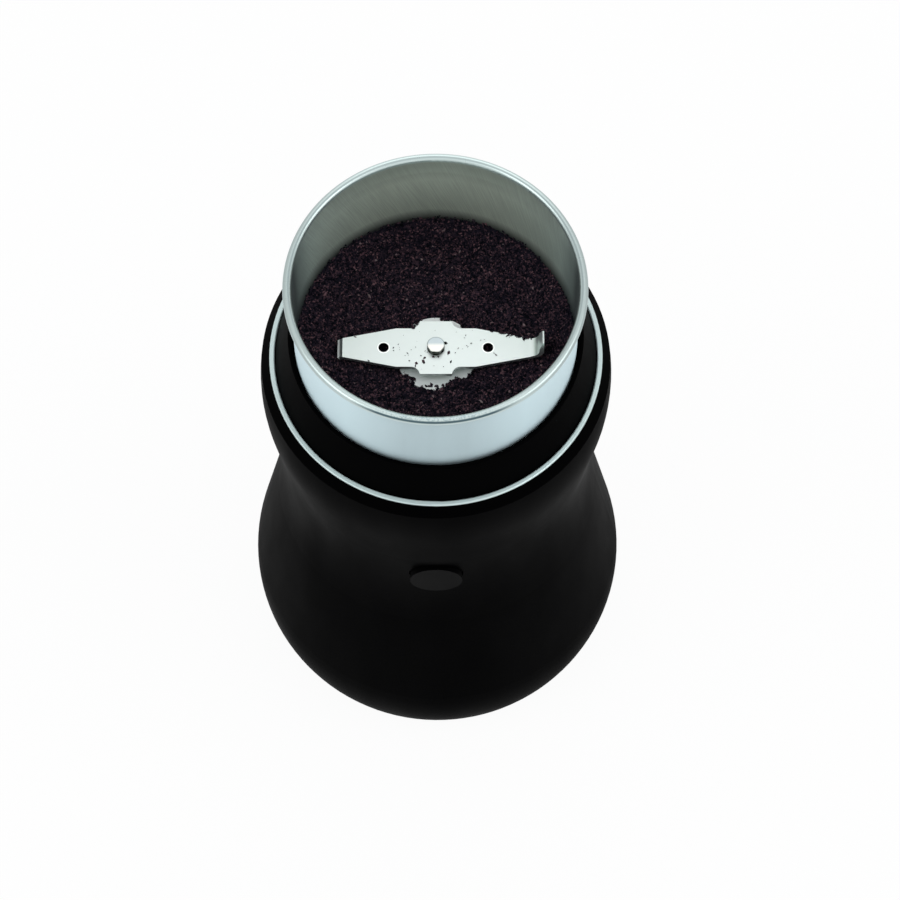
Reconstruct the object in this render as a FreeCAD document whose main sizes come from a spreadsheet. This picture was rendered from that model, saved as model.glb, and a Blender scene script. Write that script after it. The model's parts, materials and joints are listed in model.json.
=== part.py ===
"""Electric spice grinder with a lift-out steel cup, drawn standing on its four rubber feet.

The origin is on the table under the middle of the grinder, +Z is up and -Y is the front, where
the button is. All lengths are millimetres and all angles degrees. Every driving size is a cell of
the sheet; the pieces are bound to those cells by formulas.
"""
import FreeCAD, Part
import math
import os

import Sketcher

# Driving sizes: name, value. The foot's levels count up from the table, all others down from the rim.
SIZES = [
    ("overall_height", 177.3),
    # shared allowances: how far cutting tools overrun, how deep joined solids sink in, light contact
    ("overrun", 1.0),
    ("sink", 0.5),
    ("touch_gap", 0.1),
    # rubber feet and base cover
    ("foot_proud", 2.0),
    ("foot_radius", 6.0),
    ("foot_margin", 3.2),
    ("foot_recess", 1.0),
    ("cover_inset", 0.5),
    ("cover_thick", 2.5),
    ("cover_gap", 0.3),
    ("vent_inner", 12.0),
    ("vent_margin", 6.0),
    ("vent_width", 2.5),
    ("vent_end", 1.5),
    # casing outline
    ("base_radius", 52.5),
    ("base_bulge_rise", 14.0),
    ("base_arc", 40.9),
    ("low_flare_angle", 10.5),
    ("high_flare_angle", 8.0),
    ("waist_arc", 120.0),
    ("shoulder_width", 2.7),
    ("top_arc", 70.0),
    ("shoulder_rise", 8.4),
    ("shell_wall", 2.4),
    ("flange_thick", 2.5),
    ("flange_drop", 0.2),
    # trim ring and collar
    ("collar_spread", 5.0),
    ("ring_wall", 1.4),
    ("ring_height", 3.0),
    ("ring_round", 0.35),
    ("ring_proud", 0.3),
    ("ring_fit", 0.1),
    ("collar_rise", 11.4),
    ("collar_step", 0.2),
    ("lip_width", 1.2),
    ("lip_round", 0.5),
    ("well_wall", 1.4),
    ("well_depth", 37.3),
    ("well_floor", 2.5),
    ("well_gap", 0.5),
    ("well_hole", 13.0),
    ("key_width", 7.4),
    ("key_height", 5.5),
    ("key_depth", 2.6),
    ("key_play", 0.4),
    # steel cup and its carrier
    ("cup_radius", 36.8),
    ("cup_wall", 0.6),
    ("cup_rim_rise", 25.9),
    ("bead_radius", 1.1),
    ("bead_spread", 0.3),
    ("bead_spread_height", 5.0),
    ("cup_corner", 6.0),
    ("boss_radius", 11.5),
    ("boss_taper", 1.2),
    ("boss_rise", 3.4),
    ("carrier_height", 22.0),
    ("carrier_top", 2.5),
    ("carrier_wall", 2.0),
    ("carrier_play", 0.2),
    ("carrier_step", 0.2),
    ("carrier_hub", 9.0),
    ("hub_gap", 0.3),
    ("boss_seat_gap", 0.5),
    ("boss_seat_drop", 0.4),
    ("carrier_screw_offset", 6.0),
    # ground spice
    ("sweep_clear", 1.3),
    ("heap_wall_rise", 5.4),
    ("heap_knee", 3.6),
    ("heap_knee_rise", 2.6),
    ("heap_edge_drop", 1.0),
    ("heap_floor_reach", 6.0),
    ("heap_floor_drop", 1.9),
    ("heap_boss_gap", 0.2),
    # blade
    ("blade_thick", 1.2),
    ("blade_lift", 2.4),
    ("blade_clear", 8.0),
    ("blade_offset", 3.2),
    ("blade_arm_width", 11.2),
    ("blade_tip_width", 5.2),
    ("blade_hub_width", 15.4),
    ("blade_hub_half", 4.2),
    ("blade_neck", 6.4),
    ("blade_fillet", 2.4),
    ("blade_taper_start", 10.4),
    ("blade_taper_end", 3.0),
    ("blade_hole_radius", 1.3),
    ("blade_hole_offset", 13.65),
    ("blade_flange_height", 5.6),
    ("blade_bend", 2.6),
    ("blade_edge", 0.4),
    ("blade_bevel", 1.5),
    ("blade_corner", 5.0),
    ("blade_corner_width", 1.6),
    ("blade_corner_drop", 3.4),
    ("blade_tip_angle", 35.0),
    ("blade_tip_length", 1.6),
    ("blade_tip_inset", 0.6),
    # spindle, bush and washers
    ("spindle_radius", 3.0),
    ("spindle_tip_radius", 2.3),
    ("spindle_head", 1.8),
    ("head_round", 0.3),
    ("head_flat", 2.05),
    ("running_gap", 0.05),
    ("bush_wall", 2.0),
    ("bush_flange", 1.4),
    ("bush_flange_thick", 0.6),
    ("seal_thick", 0.9),
    ("seal_width", 2.2),
    ("washer_thick", 0.4),
    ("washer_gap", 0.2),
    ("washer_step", 0.5),
    ("blade_washer_width", 2.5),
    ("driven_washer_width", 2.0),
    # dog coupling
    ("coupling_drop", 11.5),
    ("coupling_clear", 2.0),
    ("dog_radius", 9.5),
    ("dog_inner", 4.5),
    ("dog_disc", 4.0),
    ("dog_tooth", 4.5),
    ("dog_angle", 52.0),
    ("dog_play", 0.5),
    # motor deck
    ("deck_gap", 3.0),
    ("deck_thick", 3.0),
    ("deck_fit", 0.4),
    ("boss_inset", 3.7),
    ("boss_screw_radius", 3.2),
    ("plate_margin", 1.0),
    # motor
    ("core_height", 26.0),
    ("core_bore", 14.2),
    ("core_edge", 4.5),
    ("core_chamfer", 4.0),
    ("air_gap", 0.7),
    ("coil_inner_x", 13.0),
    ("coil_width", 6.0),
    ("coil_inner_y", 13.0),
    ("coil_depth", 5.5),
    ("coil_overhang", 8.0),
    ("coil_play", 0.3),
    ("post_clear", 2.0),
    ("post_edge", 4.0),
    ("post_radius", 3.0),
    ("bracket_thick", 3.0),
    ("bracket_width", 14.0),
    ("damper_thick", 1.5),
    ("damper_radius", 5.0),
    ("bearing_radius", 6.0),
    ("bearing_height", 5.0),
    ("bearing_wall", 3.0),
    ("motor_screw_radius", 1.6),
    ("motor_screw_short", 0.5),
    ("rotor_slot_depth", 4.5),
    ("rotor_slot_width", 1.8),
    ("winding_gap", 1.0),
    ("winding_short", 0.5),
    ("winding_round", 2.5),
    ("commutator_radius", 9.0),
    ("commutator_height", 10.0),
    ("commutator_gap", 1.0),
    ("commutator_clear", 0.4),
    ("bar_slot_depth", 1.0),
    ("bar_slot_width", 0.5),
    ("fan_radius", 22.0),
    ("fan_height", 7.0),
    ("fan_hub", 6.0),
    ("fan_disc", 1.5),
    ("fan_blade_thick", 1.4),
    ("fan_gap", 1.5),
    ("fan_clear", 2.5),
    ("shaft_proud", 0.5),
    ("brush_width", 5.0),
    ("brush_height", 7.0),
    ("brush_length", 8.0),
    ("brush_wall", 1.6),
    ("brush_spring_gap", 0.3),
    ("brush_spring_wall", 0.6),
    ("holder_gap", 2.0),
    ("holder_length", 16.0),
    ("fuse_radius", 1.8),
    ("fuse_length", 9.0),
    ("fuse_inset", 5.0),
    # button and its switch
    ("button_drop", 13.5),
    ("button_radius", 7.0),
    ("button_gap", 0.3),
    ("button_proud", 1.5),
    ("button_flange", 1.5),
    ("button_flange_thick", 1.5),
    ("button_seat_gap", 1.3),
    ("button_stem", 2.5),
    ("button_stem_length", 4.0),
    ("button_travel", 2.5),
    ("switch_length", 20.0),
    ("switch_thick", 6.4),
    ("switch_height", 10.0),
    ("switch_pin", 0.9),
    ("switch_pin_radius", 1.4),
    ("switch_plate", 1.5),
    ("spring_wall", 1.0),
    ("spring_play", 0.5),
    # lid interlock
    ("rod_offset", 2.9),
    ("rod_radius", 1.2),
    ("rod_travel", 3.0),
    ("rod_gap", 0.3),
    ("rod_pass_half", 3.0),
    ("rod_switch_gap", 0.4),
    ("rod_arm_half", 2.0),
    ("rod_foot", 2.0),
    ("rod_foot_gap", 0.2),
    ("wing_inset", 1.5),
    ("wing_depth", 4.5),
    ("wing_margin", 2.6),
    ("slot_width", 8.0),
    ("slot_floor_rise", 2.1),
    ("slot_gap", 0.4),
    ("switch_offset", 4.0),
    ("shelf_length", 7.0),
    ("shelf_depth", 6.5),
    ("shelf_thick", 2.0),
    ("shelf_drop", 6.0),
    ("rod_spring_radius", 1.9),
    ("rod_spring_wall", 0.7),
    # fasteners
    ("screw_radius", 1.5),
    ("screw_head_radius", 2.8),
    ("screw_head_height", 1.8),
    ("screw_play", 0.3),
    ("small_screw_radius", 1.1),
    ("small_head_radius", 1.6),
    ("carrier_head_radius", 2.0),
    ("thread_gap", 0.05),
    ("hole_spare", 0.4),
    ("collar_screw_bite", 2.6),
    ("deck_screw_bite", 0.8),
    ("base_screw_inset", 5.2),
    ("base_screw_reach", 14.0),
    ("base_post_radius", 4.0),
    ("base_post_height", 21.0),
    ("base_post_cap", 3.0),
    ("rib_thick", 2.4),
    ("rib_lift", 4.0),
    # mains parts in the base
    ("inlet_rise", 12.0),
    ("inlet_radius", 5.5),
    ("inlet_bore", 2.8),
    ("inlet_flange", 1.8),
    ("inlet_sunk", 0.3),
    ("inlet_slack", 0.5),
    ("terminal_x", 12.0),
    ("terminal_y", 16.0),
    ("terminal_z", 9.0),
    ("terminal_pitch", 4.0),
    ("terminal_well", 1.6),
    ("terminal_well_depth", 4.0),
    ("capacitor_x", 13.0),
    ("capacitor_y", 18.0),
    ("capacitor_z", 12.0),
]

# How many there are of what repeats, and where round the axis the first one lies
FEET = 4
AIR_SLOTS = 12
KEYS = 3
DOGS = 3
SMALL_SCREWS = 3
TERMINALS = 4
ROTOR_SLOTS = 12
COMMUTATOR_BARS = 24
FAN_BLADES = 9
DECK_SCREW_ANGLES = (20.0, 160.0, 270.0)
POST_TURN = 45.0
SMALL_SCREW_TURN = 30.0
DRIVE_TURN = 30.0
DRIVEN_TURN = 90.0
KEY_TURN = 90.0
HEAD_FLATS = (-35.0, -93.0, -150.0)

doc = FreeCAD.newDocument("spice_grinder")


class Size:
    """A size that carries both its value and the sheet formula that gives it."""

    def __init__(self, value, text):
        self.value = value
        self.text = text

    def __add__(self, other):
        other = as_size(other)
        return Size(self.value + other.value, f"({self.text} + {other.text})")

    def __sub__(self, other):
        other = as_size(other)
        return Size(self.value - other.value, f"({self.text} - {other.text})")

    def __mul__(self, other):
        other = as_size(other)
        return Size(self.value * other.value, f"({self.text} * {other.text})")

    def __truediv__(self, other):
        other = as_size(other)
        return Size(self.value / other.value, f"({self.text} / {other.text})")

    def __neg__(self):
        return Size(-self.value, f"(0 - {self.text})")

    def __radd__(self, other):
        return as_size(other) + self

    def __rsub__(self, other):
        return as_size(other) - self

    def __rmul__(self, other):
        return as_size(other) * self


def as_size(number):
    """Turn a plain number into a Size; a Size stays as it is."""
    if isinstance(number, Size):
        return number
    return Size(float(number), f"({float(number)!r})")


def sine(angle):
    """Sine of an angle in degrees."""
    angle = as_size(angle)
    return Size(math.sin(math.radians(angle.value)), f"sin({angle.text})")


def cosine(angle):
    """Cosine of an angle in degrees."""
    angle = as_size(angle)
    return Size(math.cos(math.radians(angle.value)), f"cos({angle.text})")


def tangent(angle):
    """Tangent of an angle in degrees."""
    angle = as_size(angle)
    return Size(math.tan(math.radians(angle.value)), f"tan({angle.text})")


def leg(hypotenuse, other_leg):
    """The other leg of a right triangle."""
    square = hypotenuse * hypotenuse - other_leg * other_leg
    return Size(math.sqrt(square.value), f"sqrt({square.text})")


def write_sheet(sizes):
    """Fill the sheet and return its cells as named sizes."""
    sheet = doc.addObject("Spreadsheet::Sheet", "Sizes")
    cells = {}
    for row, (name, value) in enumerate(sizes, start=1):
        sheet.set(f"A{row}", name)
        sheet.set(f"B{row}", str(value))
        sheet.setAlias(f"B{row}", name)
        cells[name] = Size(value, f"Sizes.{name}")
    doc.recompute()
    return cells


class Cells:
    """The sheet's cells as attributes."""

    def __init__(self, cells):
        self.__dict__.update(cells)


s = Cells(write_sheet(SIZES))


def bind(feature, **sizes):
    """Bind properties of a feature to sizes."""
    for name, size in sizes.items():
        feature.setExpression(name, as_size(size).text)
    return feature


def place(feature, x, y, z):
    """Bind the position of a feature."""
    for axis, size in zip("xyz", (x, y, z)):
        feature.setExpression(f"Placement.Base.{axis}", as_size(size).text)
    return feature


def cylinder(radius, height, x=0, y=0, z=0, along=None):
    """A round bar that starts at x, y, z and runs along +Z, or along the direction given."""
    feature = bind(doc.addObject("Part::Cylinder", "Bar"), Radius=radius, Height=height)
    if along is not None:
        turn = FreeCAD.Rotation(FreeCAD.Vector(0, 0, 1), FreeCAD.Vector(*along))
        feature.Placement = FreeCAD.Placement(FreeCAD.Vector(), turn)
    return place(feature, x, y, z)


def through(radius, x, y, low, high):
    """A round hole along Z that passes everything between two levels."""
    return cylinder(radius, high - low + 2 * s.overrun, x, y, low - s.overrun)


def block(low, high):
    """A box between two corners."""
    low = [as_size(size) for size in low]
    high = [as_size(size) for size in high]
    feature = doc.addObject("Part::Box", "Block")
    bind(feature, Length=high[0] - low[0], Width=high[1] - low[1], Height=high[2] - low[2])
    return place(feature, *low)


def turned_block(low, high, angle):
    """A box between two corners, then turned about the middle axis by a fixed angle."""
    feature = block(low, high)
    x, y, z = (as_size(size) for size in low)
    feature.Placement = FreeCAD.Placement(
        FreeCAD.Vector(), FreeCAD.Rotation(FreeCAD.Vector(0, 0, 1), angle)
    )
    cos, sin = math.cos(math.radians(angle)), math.sin(math.radians(angle))
    return place(feature, x * cos - y * sin, x * sin + y * cos, z)


def cut(base, *tools):
    """Take one or more tools away from a base."""
    for tool in tools:
        feature = doc.addObject("Part::Cut", "Cut")
        feature.Base = base
        feature.Tool = tool
        base = feature
    return base


def join(*pieces):
    """Fuse pieces that are one solid on the real object."""
    feature = doc.addObject("Part::MultiFuse", "Join")
    feature.Shapes = list(pieces)
    feature.Refine = True
    return feature


def group(*pieces):
    """Keep separate solids together in one node."""
    feature = doc.addObject("Part::Compound", "Group")
    feature.Links = list(pieces)
    return feature


def overlap(base, tool):
    """Keep only what two pieces share."""
    feature = doc.addObject("Part::Common", "Overlap")
    feature.Base = base
    feature.Tool = tool
    return feature


class Arc:
    """A round stretch between two corners of an outline."""

    def __init__(self, radius, left=True, long_way=False):
        self.radius = as_size(radius)
        self.left = left
        self.long_way = long_way


def arc_centre(start, end, arc):
    """Centre of an arc that turns left or right from start to end."""
    chord = end - start
    half = chord.Length / 2
    depth = math.sqrt(max(arc.radius.value**2 - half**2, 0))
    side = FreeCAD.Vector(-chord.y, chord.x, 0).normalize()
    if arc.left == arc.long_way:
        side = side * -1
    return start + chord * 0.5 + side * depth


def draw(sketch, outline):
    """Draw a closed outline of corners and arcs, with every corner bound to the sheet."""
    corners = []
    for item in outline:
        if not isinstance(item, Arc):
            corners.append([tuple(as_size(size) for size in item), None])
        else:
            corners[-1][1] = item
    edges = []
    for index, (corner, arc) in enumerate(corners):
        following = corners[(index + 1) % len(corners)][0]
        start = FreeCAD.Vector(corner[0].value, corner[1].value, 0)
        end = FreeCAD.Vector(following[0].value, following[1].value, 0)
        if arc is None:
            edges.append((sketch.addGeometry(Part.LineSegment(start, end)), 1, 2, None))
            continue
        centre = arc_centre(start, end, arc)
        circle = Part.Circle(centre, FreeCAD.Vector(0, 0, 1), arc.radius.value)
        first, last = (start, end) if arc.left else (end, start)
        angles = [math.atan2(point.y - centre.y, point.x - centre.x) for point in (first, last)]
        if angles[1] <= angles[0]:
            angles[1] += 2 * math.pi
        edge = sketch.addGeometry(Part.ArcOfCircle(circle, *angles))
        ends = (1, 2) if arc.left else (2, 1)
        edges.append((edge, *ends, arc.radius))
    for index, (edge, start, end, radius) in enumerate(edges):
        following = edges[(index + 1) % len(edges)]
        sketch.addConstraint(Sketcher.Constraint("Coincident", edge, end, following[0], following[1]))
        for kind, size in zip(("DistanceX", "DistanceY"), corners[index][0]):
            hold(sketch, Sketcher.Constraint(kind, -1, 1, edge, start, size.value), size)
        if radius is not None:
            hold(sketch, Sketcher.Constraint("Radius", edge, radius.value), radius)


def hold(sketch, constraint, size):
    """Add a constraint and bind it to a size."""
    number = sketch.addConstraint(constraint)
    sketch.setExpression(f"Constraints[{number}]", size.text)


def origin_plane(body, role):
    """One of the body's own origin planes."""
    return next(item for item in body.Origin.OriginFeatures if item.Role == role)


def new_sketch(body, role, name, level=None):
    """A sketch on an origin plane, raised to a level if one is given."""
    sketch = body.newObject("Sketcher::SketchObject", name)
    sketch.AttachmentSupport = [(origin_plane(body, role), "")]
    sketch.MapMode = "FlatFace"
    if level is not None:
        sketch.setExpression("AttachmentOffset.Base.z", as_size(level).text)
    return sketch


def revolved(outline):
    """A body turned about the middle axis; corners are (radius, height)."""
    body = doc.addObject("PartDesign::Body", "Turned")
    sketch = new_sketch(body, "XZ_Plane", "Outline")
    draw(sketch, outline)
    doc.recompute()
    turned = body.newObject("PartDesign::Revolution", "Revolution")
    turned.Profile = sketch
    turned.ReferenceAxis = (sketch, ["V_Axis"])
    turned.Angle = 360
    return body


def sleeve(inner, outer, low, high):
    """A round tube between two levels."""
    return revolved([(inner, low), (outer, low), (outer, high), (inner, high)])


def padded(outline, low, height, role="XY_Plane"):
    """A flat outline padded from a level upwards."""
    body = doc.addObject("PartDesign::Body", "Padded")
    sketch = new_sketch(body, role, "Outline", low)
    draw(sketch, outline)
    doc.recompute()
    pad = body.newObject("PartDesign::Pad", "Pad")
    pad.Profile = sketch
    bind(pad, Length=height)
    return body


def ring_of(count, radius, start=0.0):
    """Places evenly spaced on a circle, each an (x, y) pair of sizes."""
    step = 360.0 / count
    return [
        (radius * math.cos(math.radians(start + step * number)),
         radius * math.sin(math.radians(start + step * number)))
        for number in range(count)
    ]


def mirrored(near, far, side):
    """A span on the plus side, or the same span turned over to the minus side."""
    return (near, far) if side > 0 else (-far, -near)


def corners_of(x, y):
    """The four corners of a rectangle about the middle axis."""
    return [(x, y), (-x, y), (-x, -y), (x, -y)]


def screw(x, y, seat, shank, radius, head_radius, head_height):
    """A screw put in from below: its head hangs under the seat and its shank points up."""
    head = cylinder(head_radius, head_height, x, y, seat - head_height)
    return join(head, cylinder(radius, shank, x, y, seat))


# Levels above the table
edge_level = s.foot_proud
cover_low = edge_level + s.cover_inset
cover_top = cover_low + s.cover_thick
bulge_level = edge_level + s.base_bulge_rise
inlet_level = edge_level + s.inlet_rise
rim_level = s.overall_height - s.bead_radius
lip_level = rim_level - s.cup_rim_rise
ring_top = lip_level - s.collar_rise
flange_top = ring_top - s.ring_height
flange_low = flange_top - s.flange_thick
shoulder_level = flange_top - s.flange_drop
top_bulge_level = shoulder_level - s.shoulder_rise
well_level = lip_level - s.well_depth
well_low = well_level - s.well_floor
deck_top = well_low - s.deck_gap
deck_low = deck_top - s.deck_thick
button_level = deck_low - s.button_drop
slot_floor = ring_top + s.slot_floor_rise

# Cup levels: the carrier stands on the well floor and the steel cup on the carrier
carrier_low = well_level
cup_low = carrier_low + s.carrier_height
cup_floor = cup_low + s.cup_wall
plate_low = cup_low - s.carrier_top
boss_level = cup_floor + s.boss_rise
bush_top = boss_level + s.bush_flange_thick
seal_top = bush_top + s.seal_thick
blade_low = boss_level + s.blade_lift
blade_top = blade_low + s.blade_thick

# Coupling levels: the driving dog under the driven one, teeth in mesh
driven_top = plate_low - s.coupling_drop
driven_low = driven_top - s.dog_disc
teeth_low = driven_low - s.dog_tooth
drive_top = teeth_low - s.dog_play
drive_low = drive_top - s.dog_disc

# Motor levels, counted down from the deck
bracket_top = deck_low - s.damper_thick
bracket_low = bracket_top - s.bracket_thick
top_washer = bracket_top - s.bearing_height - s.washer_gap - s.washer_thick
commutator_top = top_washer - s.commutator_clear
commutator_low = commutator_top - s.commutator_height
brush_level = commutator_low + s.commutator_height * 0.5
core_top = commutator_low - s.commutator_gap - s.coil_overhang
core_low = core_top - s.core_height
fan_low = core_low - s.coil_overhang - s.fan_clear - s.fan_height
foot_bracket_top = fan_low - s.fan_gap
foot_bracket_low = foot_bracket_top - s.bracket_thick

# Radii that follow from the cup outwards, and the motor's plan
well_inner = s.cup_radius + s.well_gap
well_outer = well_inner + s.well_wall
ring_inner = well_inner + s.collar_spread
ring_outer = ring_inner + s.ring_wall
top_radius = ring_outer + s.shoulder_width
collar_screw_circle = well_outer + s.ring_fit + s.small_head_radius
carrier_screw_circle = s.boss_radius + s.carrier_screw_offset
deck_screw_circle = well_outer - s.boss_inset
rod_circle = well_inner + s.rod_offset
cup_inner = s.cup_radius - s.cup_wall
blade_reach = cup_inner - s.blade_clear
bush_radius = s.spindle_radius + s.running_gap + s.bush_wall
post_x = s.coil_inner_x + s.coil_width + s.post_clear + s.post_radius
core_half_x = post_x + s.post_edge
core_half_y = s.coil_inner_y + s.coil_depth + s.core_edge
post_y = core_half_y - s.post_edge

# Casing outline: arcs and flares shared by the outer and the inner face
base_centre = s.base_radius - s.base_arc
top_centre = top_radius - s.top_arc
low_start_r = base_centre + s.base_arc * cosine(s.low_flare_angle)
low_start_z = bulge_level + s.base_arc * sine(s.low_flare_angle)
high_end_r = top_centre + s.top_arc * cosine(s.high_flare_angle)
high_end_z = top_bulge_level - s.top_arc * sine(s.high_flare_angle)
low_slope = tangent(s.low_flare_angle)
high_slope = tangent(s.high_flare_angle)
waist_z = (
    low_start_r - high_end_r + low_start_z * low_slope + high_end_z * high_slope
) / (low_slope + high_slope)
waist_r = low_start_r - (waist_z - low_start_z) * low_slope
waist_reach = s.waist_arc * tangent((s.low_flare_angle + s.high_flare_angle) * 0.5)

# Plan of the foot: the cover fills the casing's mouth, feet and screws stand in from its edge
cover_radius = base_centre + leg(s.base_arc - s.shell_wall, s.base_bulge_rise) - s.cover_gap
foot_circle = cover_radius - s.foot_radius - s.foot_margin
base_screw_circle = cover_radius - s.base_screw_inset
vent_outer = foot_circle - s.foot_radius - s.vent_margin


def casing_points(depth):
    """Corners of the casing wall at a depth under its outer face, from the edge to the shoulder."""
    low_cos, low_sin = cosine(s.low_flare_angle), sine(s.low_flare_angle)
    high_cos, high_sin = cosine(s.high_flare_angle), sine(s.high_flare_angle)
    edge = (base_centre + leg(s.base_arc - depth, s.base_bulge_rise), edge_level)
    low_start = (low_start_r - depth * low_cos, low_start_z - depth * low_sin)
    low_end = (waist_r + waist_reach * low_sin - depth * low_cos,
               waist_z - waist_reach * low_cos - depth * low_sin)
    high_start = (waist_r + waist_reach * high_sin - depth * high_cos,
                  waist_z + waist_reach * high_cos + depth * high_sin)
    high_end = (high_end_r - depth * high_cos, high_end_z + depth * high_sin)
    return [
        edge,
        Arc(s.base_arc - depth),
        low_start,
        low_end,
        Arc(s.waist_arc + depth, left=False),
        high_start,
        high_end,
    ]


def backwards(points):
    """The same outline run from its last corner to its first, with each arc turned over."""
    result = []
    for item in reversed(points):
        if isinstance(item, Arc):
            item = Arc(item.radius, left=not item.left, long_way=item.long_way)
        result.append(item)
    return result


def casing_radius(level, depth):
    """Radius of the upper flare at a level, at a depth under the outer face."""
    return high_end_r - (high_end_z - level) * high_slope - depth / cosine(s.high_flare_angle)


def waist_radius(level, depth):
    """Radius inside the waist's round stretch at a level, at a depth under the outer face."""
    middle_r = waist_r + waist_reach * sine(s.high_flare_angle) + s.waist_arc * cosine(s.high_flare_angle)
    middle_z = waist_z + waist_reach * cosine(s.high_flare_angle) - s.waist_arc * sine(s.high_flare_angle)
    return middle_r - leg(s.waist_arc + depth, level - middle_z)


def make_housing_shell():
    """Casing: bulged foot, waist and upper bulge, with a flange that carries ring and collar."""
    shoulder = (top_centre + leg(s.top_arc, s.shoulder_rise), shoulder_level)
    seat_radius = ring_outer + s.ring_fit
    well_pass = well_outer + s.ring_fit
    inner_top = (top_centre + leg(s.top_arc - s.shell_wall, flange_low - top_bulge_level), flange_low)
    outline = casing_points(as_size(0)) + [
        Arc(s.top_arc),
        shoulder,
        (seat_radius, ring_top - s.ring_proud),
        (seat_radius, flange_top),
        (well_pass, flange_top),
        (well_pass, flange_low),
        inner_top,
        Arc(s.top_arc - s.shell_wall, left=False),
    ] + backwards(casing_points(s.shell_wall))
    posts = [revolved(outline)]
    holes = []
    half_rib = s.rib_thick * 0.5
    rib_end = s.base_radius - s.shell_wall + s.sink
    post_top = cover_top + s.base_post_height
    for number, (x, y) in enumerate(ring_of(FEET, base_screw_circle, POST_TURN)):
        posts.append(cylinder(s.base_post_radius, s.base_post_height, x, y, cover_top))
        posts.append(turned_block((base_screw_circle, -half_rib, cover_top + s.rib_lift),
                                  (rib_end, half_rib, post_top), POST_TURN + 360.0 / FEET * number))
        holes.append(cylinder(s.screw_radius + s.thread_gap, s.base_post_height - s.base_post_cap,
                              x, y, cover_top))
    holes.append(cylinder(s.button_radius + s.button_gap, top_radius, 0, -top_radius - s.overrun,
                          button_level, along=(0, 1, 0)))
    inlet_start = s.base_radius - s.shell_wall - 2 * s.overrun
    holes.append(cylinder(s.inlet_radius + s.ring_fit, s.shell_wall + 4 * s.overrun, 0, inlet_start,
                          inlet_level, along=(0, 1, 0)))
    rod_half = s.rod_radius + s.rod_gap
    holes.append(block((-s.rod_pass_half, rod_circle - rod_half - s.overrun, flange_low - s.overrun),
                       (s.rod_pass_half, rod_circle + rod_half + s.overrun, flange_top + s.overrun)))
    for x, y in ring_of(SMALL_SCREWS, collar_screw_circle, SMALL_SCREW_TURN):
        holes.append(through(s.small_screw_radius + s.ring_fit, x, y, flange_low, flange_top))
    return cut(join(*posts), group(*holes))


def make_trim_ring():
    """Bright metal ring round the collar, with softened top edges."""
    soft = s.ring_round
    return revolved([
        (ring_inner, flange_top),
        (ring_outer, flange_top),
        (ring_outer, ring_top - soft),
        Arc(soft),
        (ring_outer - soft, ring_top),
        (ring_inner + soft, ring_top),
        Arc(soft),
        (ring_inner, ring_top - soft),
    ])


def make_top_collar():
    """Collar and well in one moulding: steep shoulder, lip round the cup, wall and floor below."""
    foot_radius = ring_inner - s.ring_fit
    lip_outer = well_inner + s.lip_width
    body = revolved([
        (well_inner, well_level),
        (s.well_hole, well_level),
        (s.well_hole, well_low),
        (well_outer, well_low),
        (well_outer, flange_top),
        (foot_radius, flange_top),
        (foot_radius, ring_top - s.collar_step),
        (lip_outer, lip_level - s.lip_round),
        Arc(s.lip_round),
        (lip_outer - s.lip_round, lip_level),
        (well_inner + s.lip_round, lip_level),
        Arc(s.lip_round),
        (well_inner, lip_level - s.lip_round),
    ])
    added = [body]
    holes = []
    for number in range(KEYS):
        added.append(turned_block(
            (well_inner - s.key_depth, s.key_width * -0.5, well_level - s.sink),
            (well_inner + s.sink, s.key_width * 0.5, well_level + s.key_height),
            KEY_TURN + 360.0 / KEYS * number))
    for x, y in deck_screw_places():
        added.append(cylinder(s.boss_screw_radius, s.deck_gap + s.sink, x, y, deck_top))
        holes.append(cylinder(s.screw_radius + s.thread_gap, s.deck_gap + s.deck_screw_bite + s.hole_spare,
                              x, y, deck_top))
    for x, y in ring_of(SMALL_SCREWS, collar_screw_circle, SMALL_SCREW_TURN):
        holes.append(cylinder(s.small_screw_radius + s.thread_gap, s.collar_screw_bite + s.hole_spare,
                              x, y, flange_top))
    holes.append(block((s.slot_width * -0.5, rod_circle - s.rod_radius - s.slot_gap, slot_floor),
                       (s.slot_width * 0.5, ring_outer + s.overrun, lip_level + s.overrun)))
    holes.append(through(s.rod_radius + s.rod_gap, 0, rod_circle, flange_top, slot_floor))
    return cut(join(*added), group(*holes))


def deck_screw_places():
    """Where the deck is screwed to the bosses under the well."""
    return [
        (deck_screw_circle * math.cos(math.radians(angle)),
         deck_screw_circle * math.sin(math.radians(angle)))
        for angle in DECK_SCREW_ANGLES
    ]


def make_collar_screws():
    """Small screws from below, through the flange into the collar."""
    return group(*[
        screw(x, y, flange_low, s.flange_thick + s.collar_screw_bite, s.small_screw_radius,
              s.small_head_radius, s.screw_head_height)
        for x, y in ring_of(SMALL_SCREWS, collar_screw_circle, SMALL_SCREW_TURN)
    ])


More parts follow.
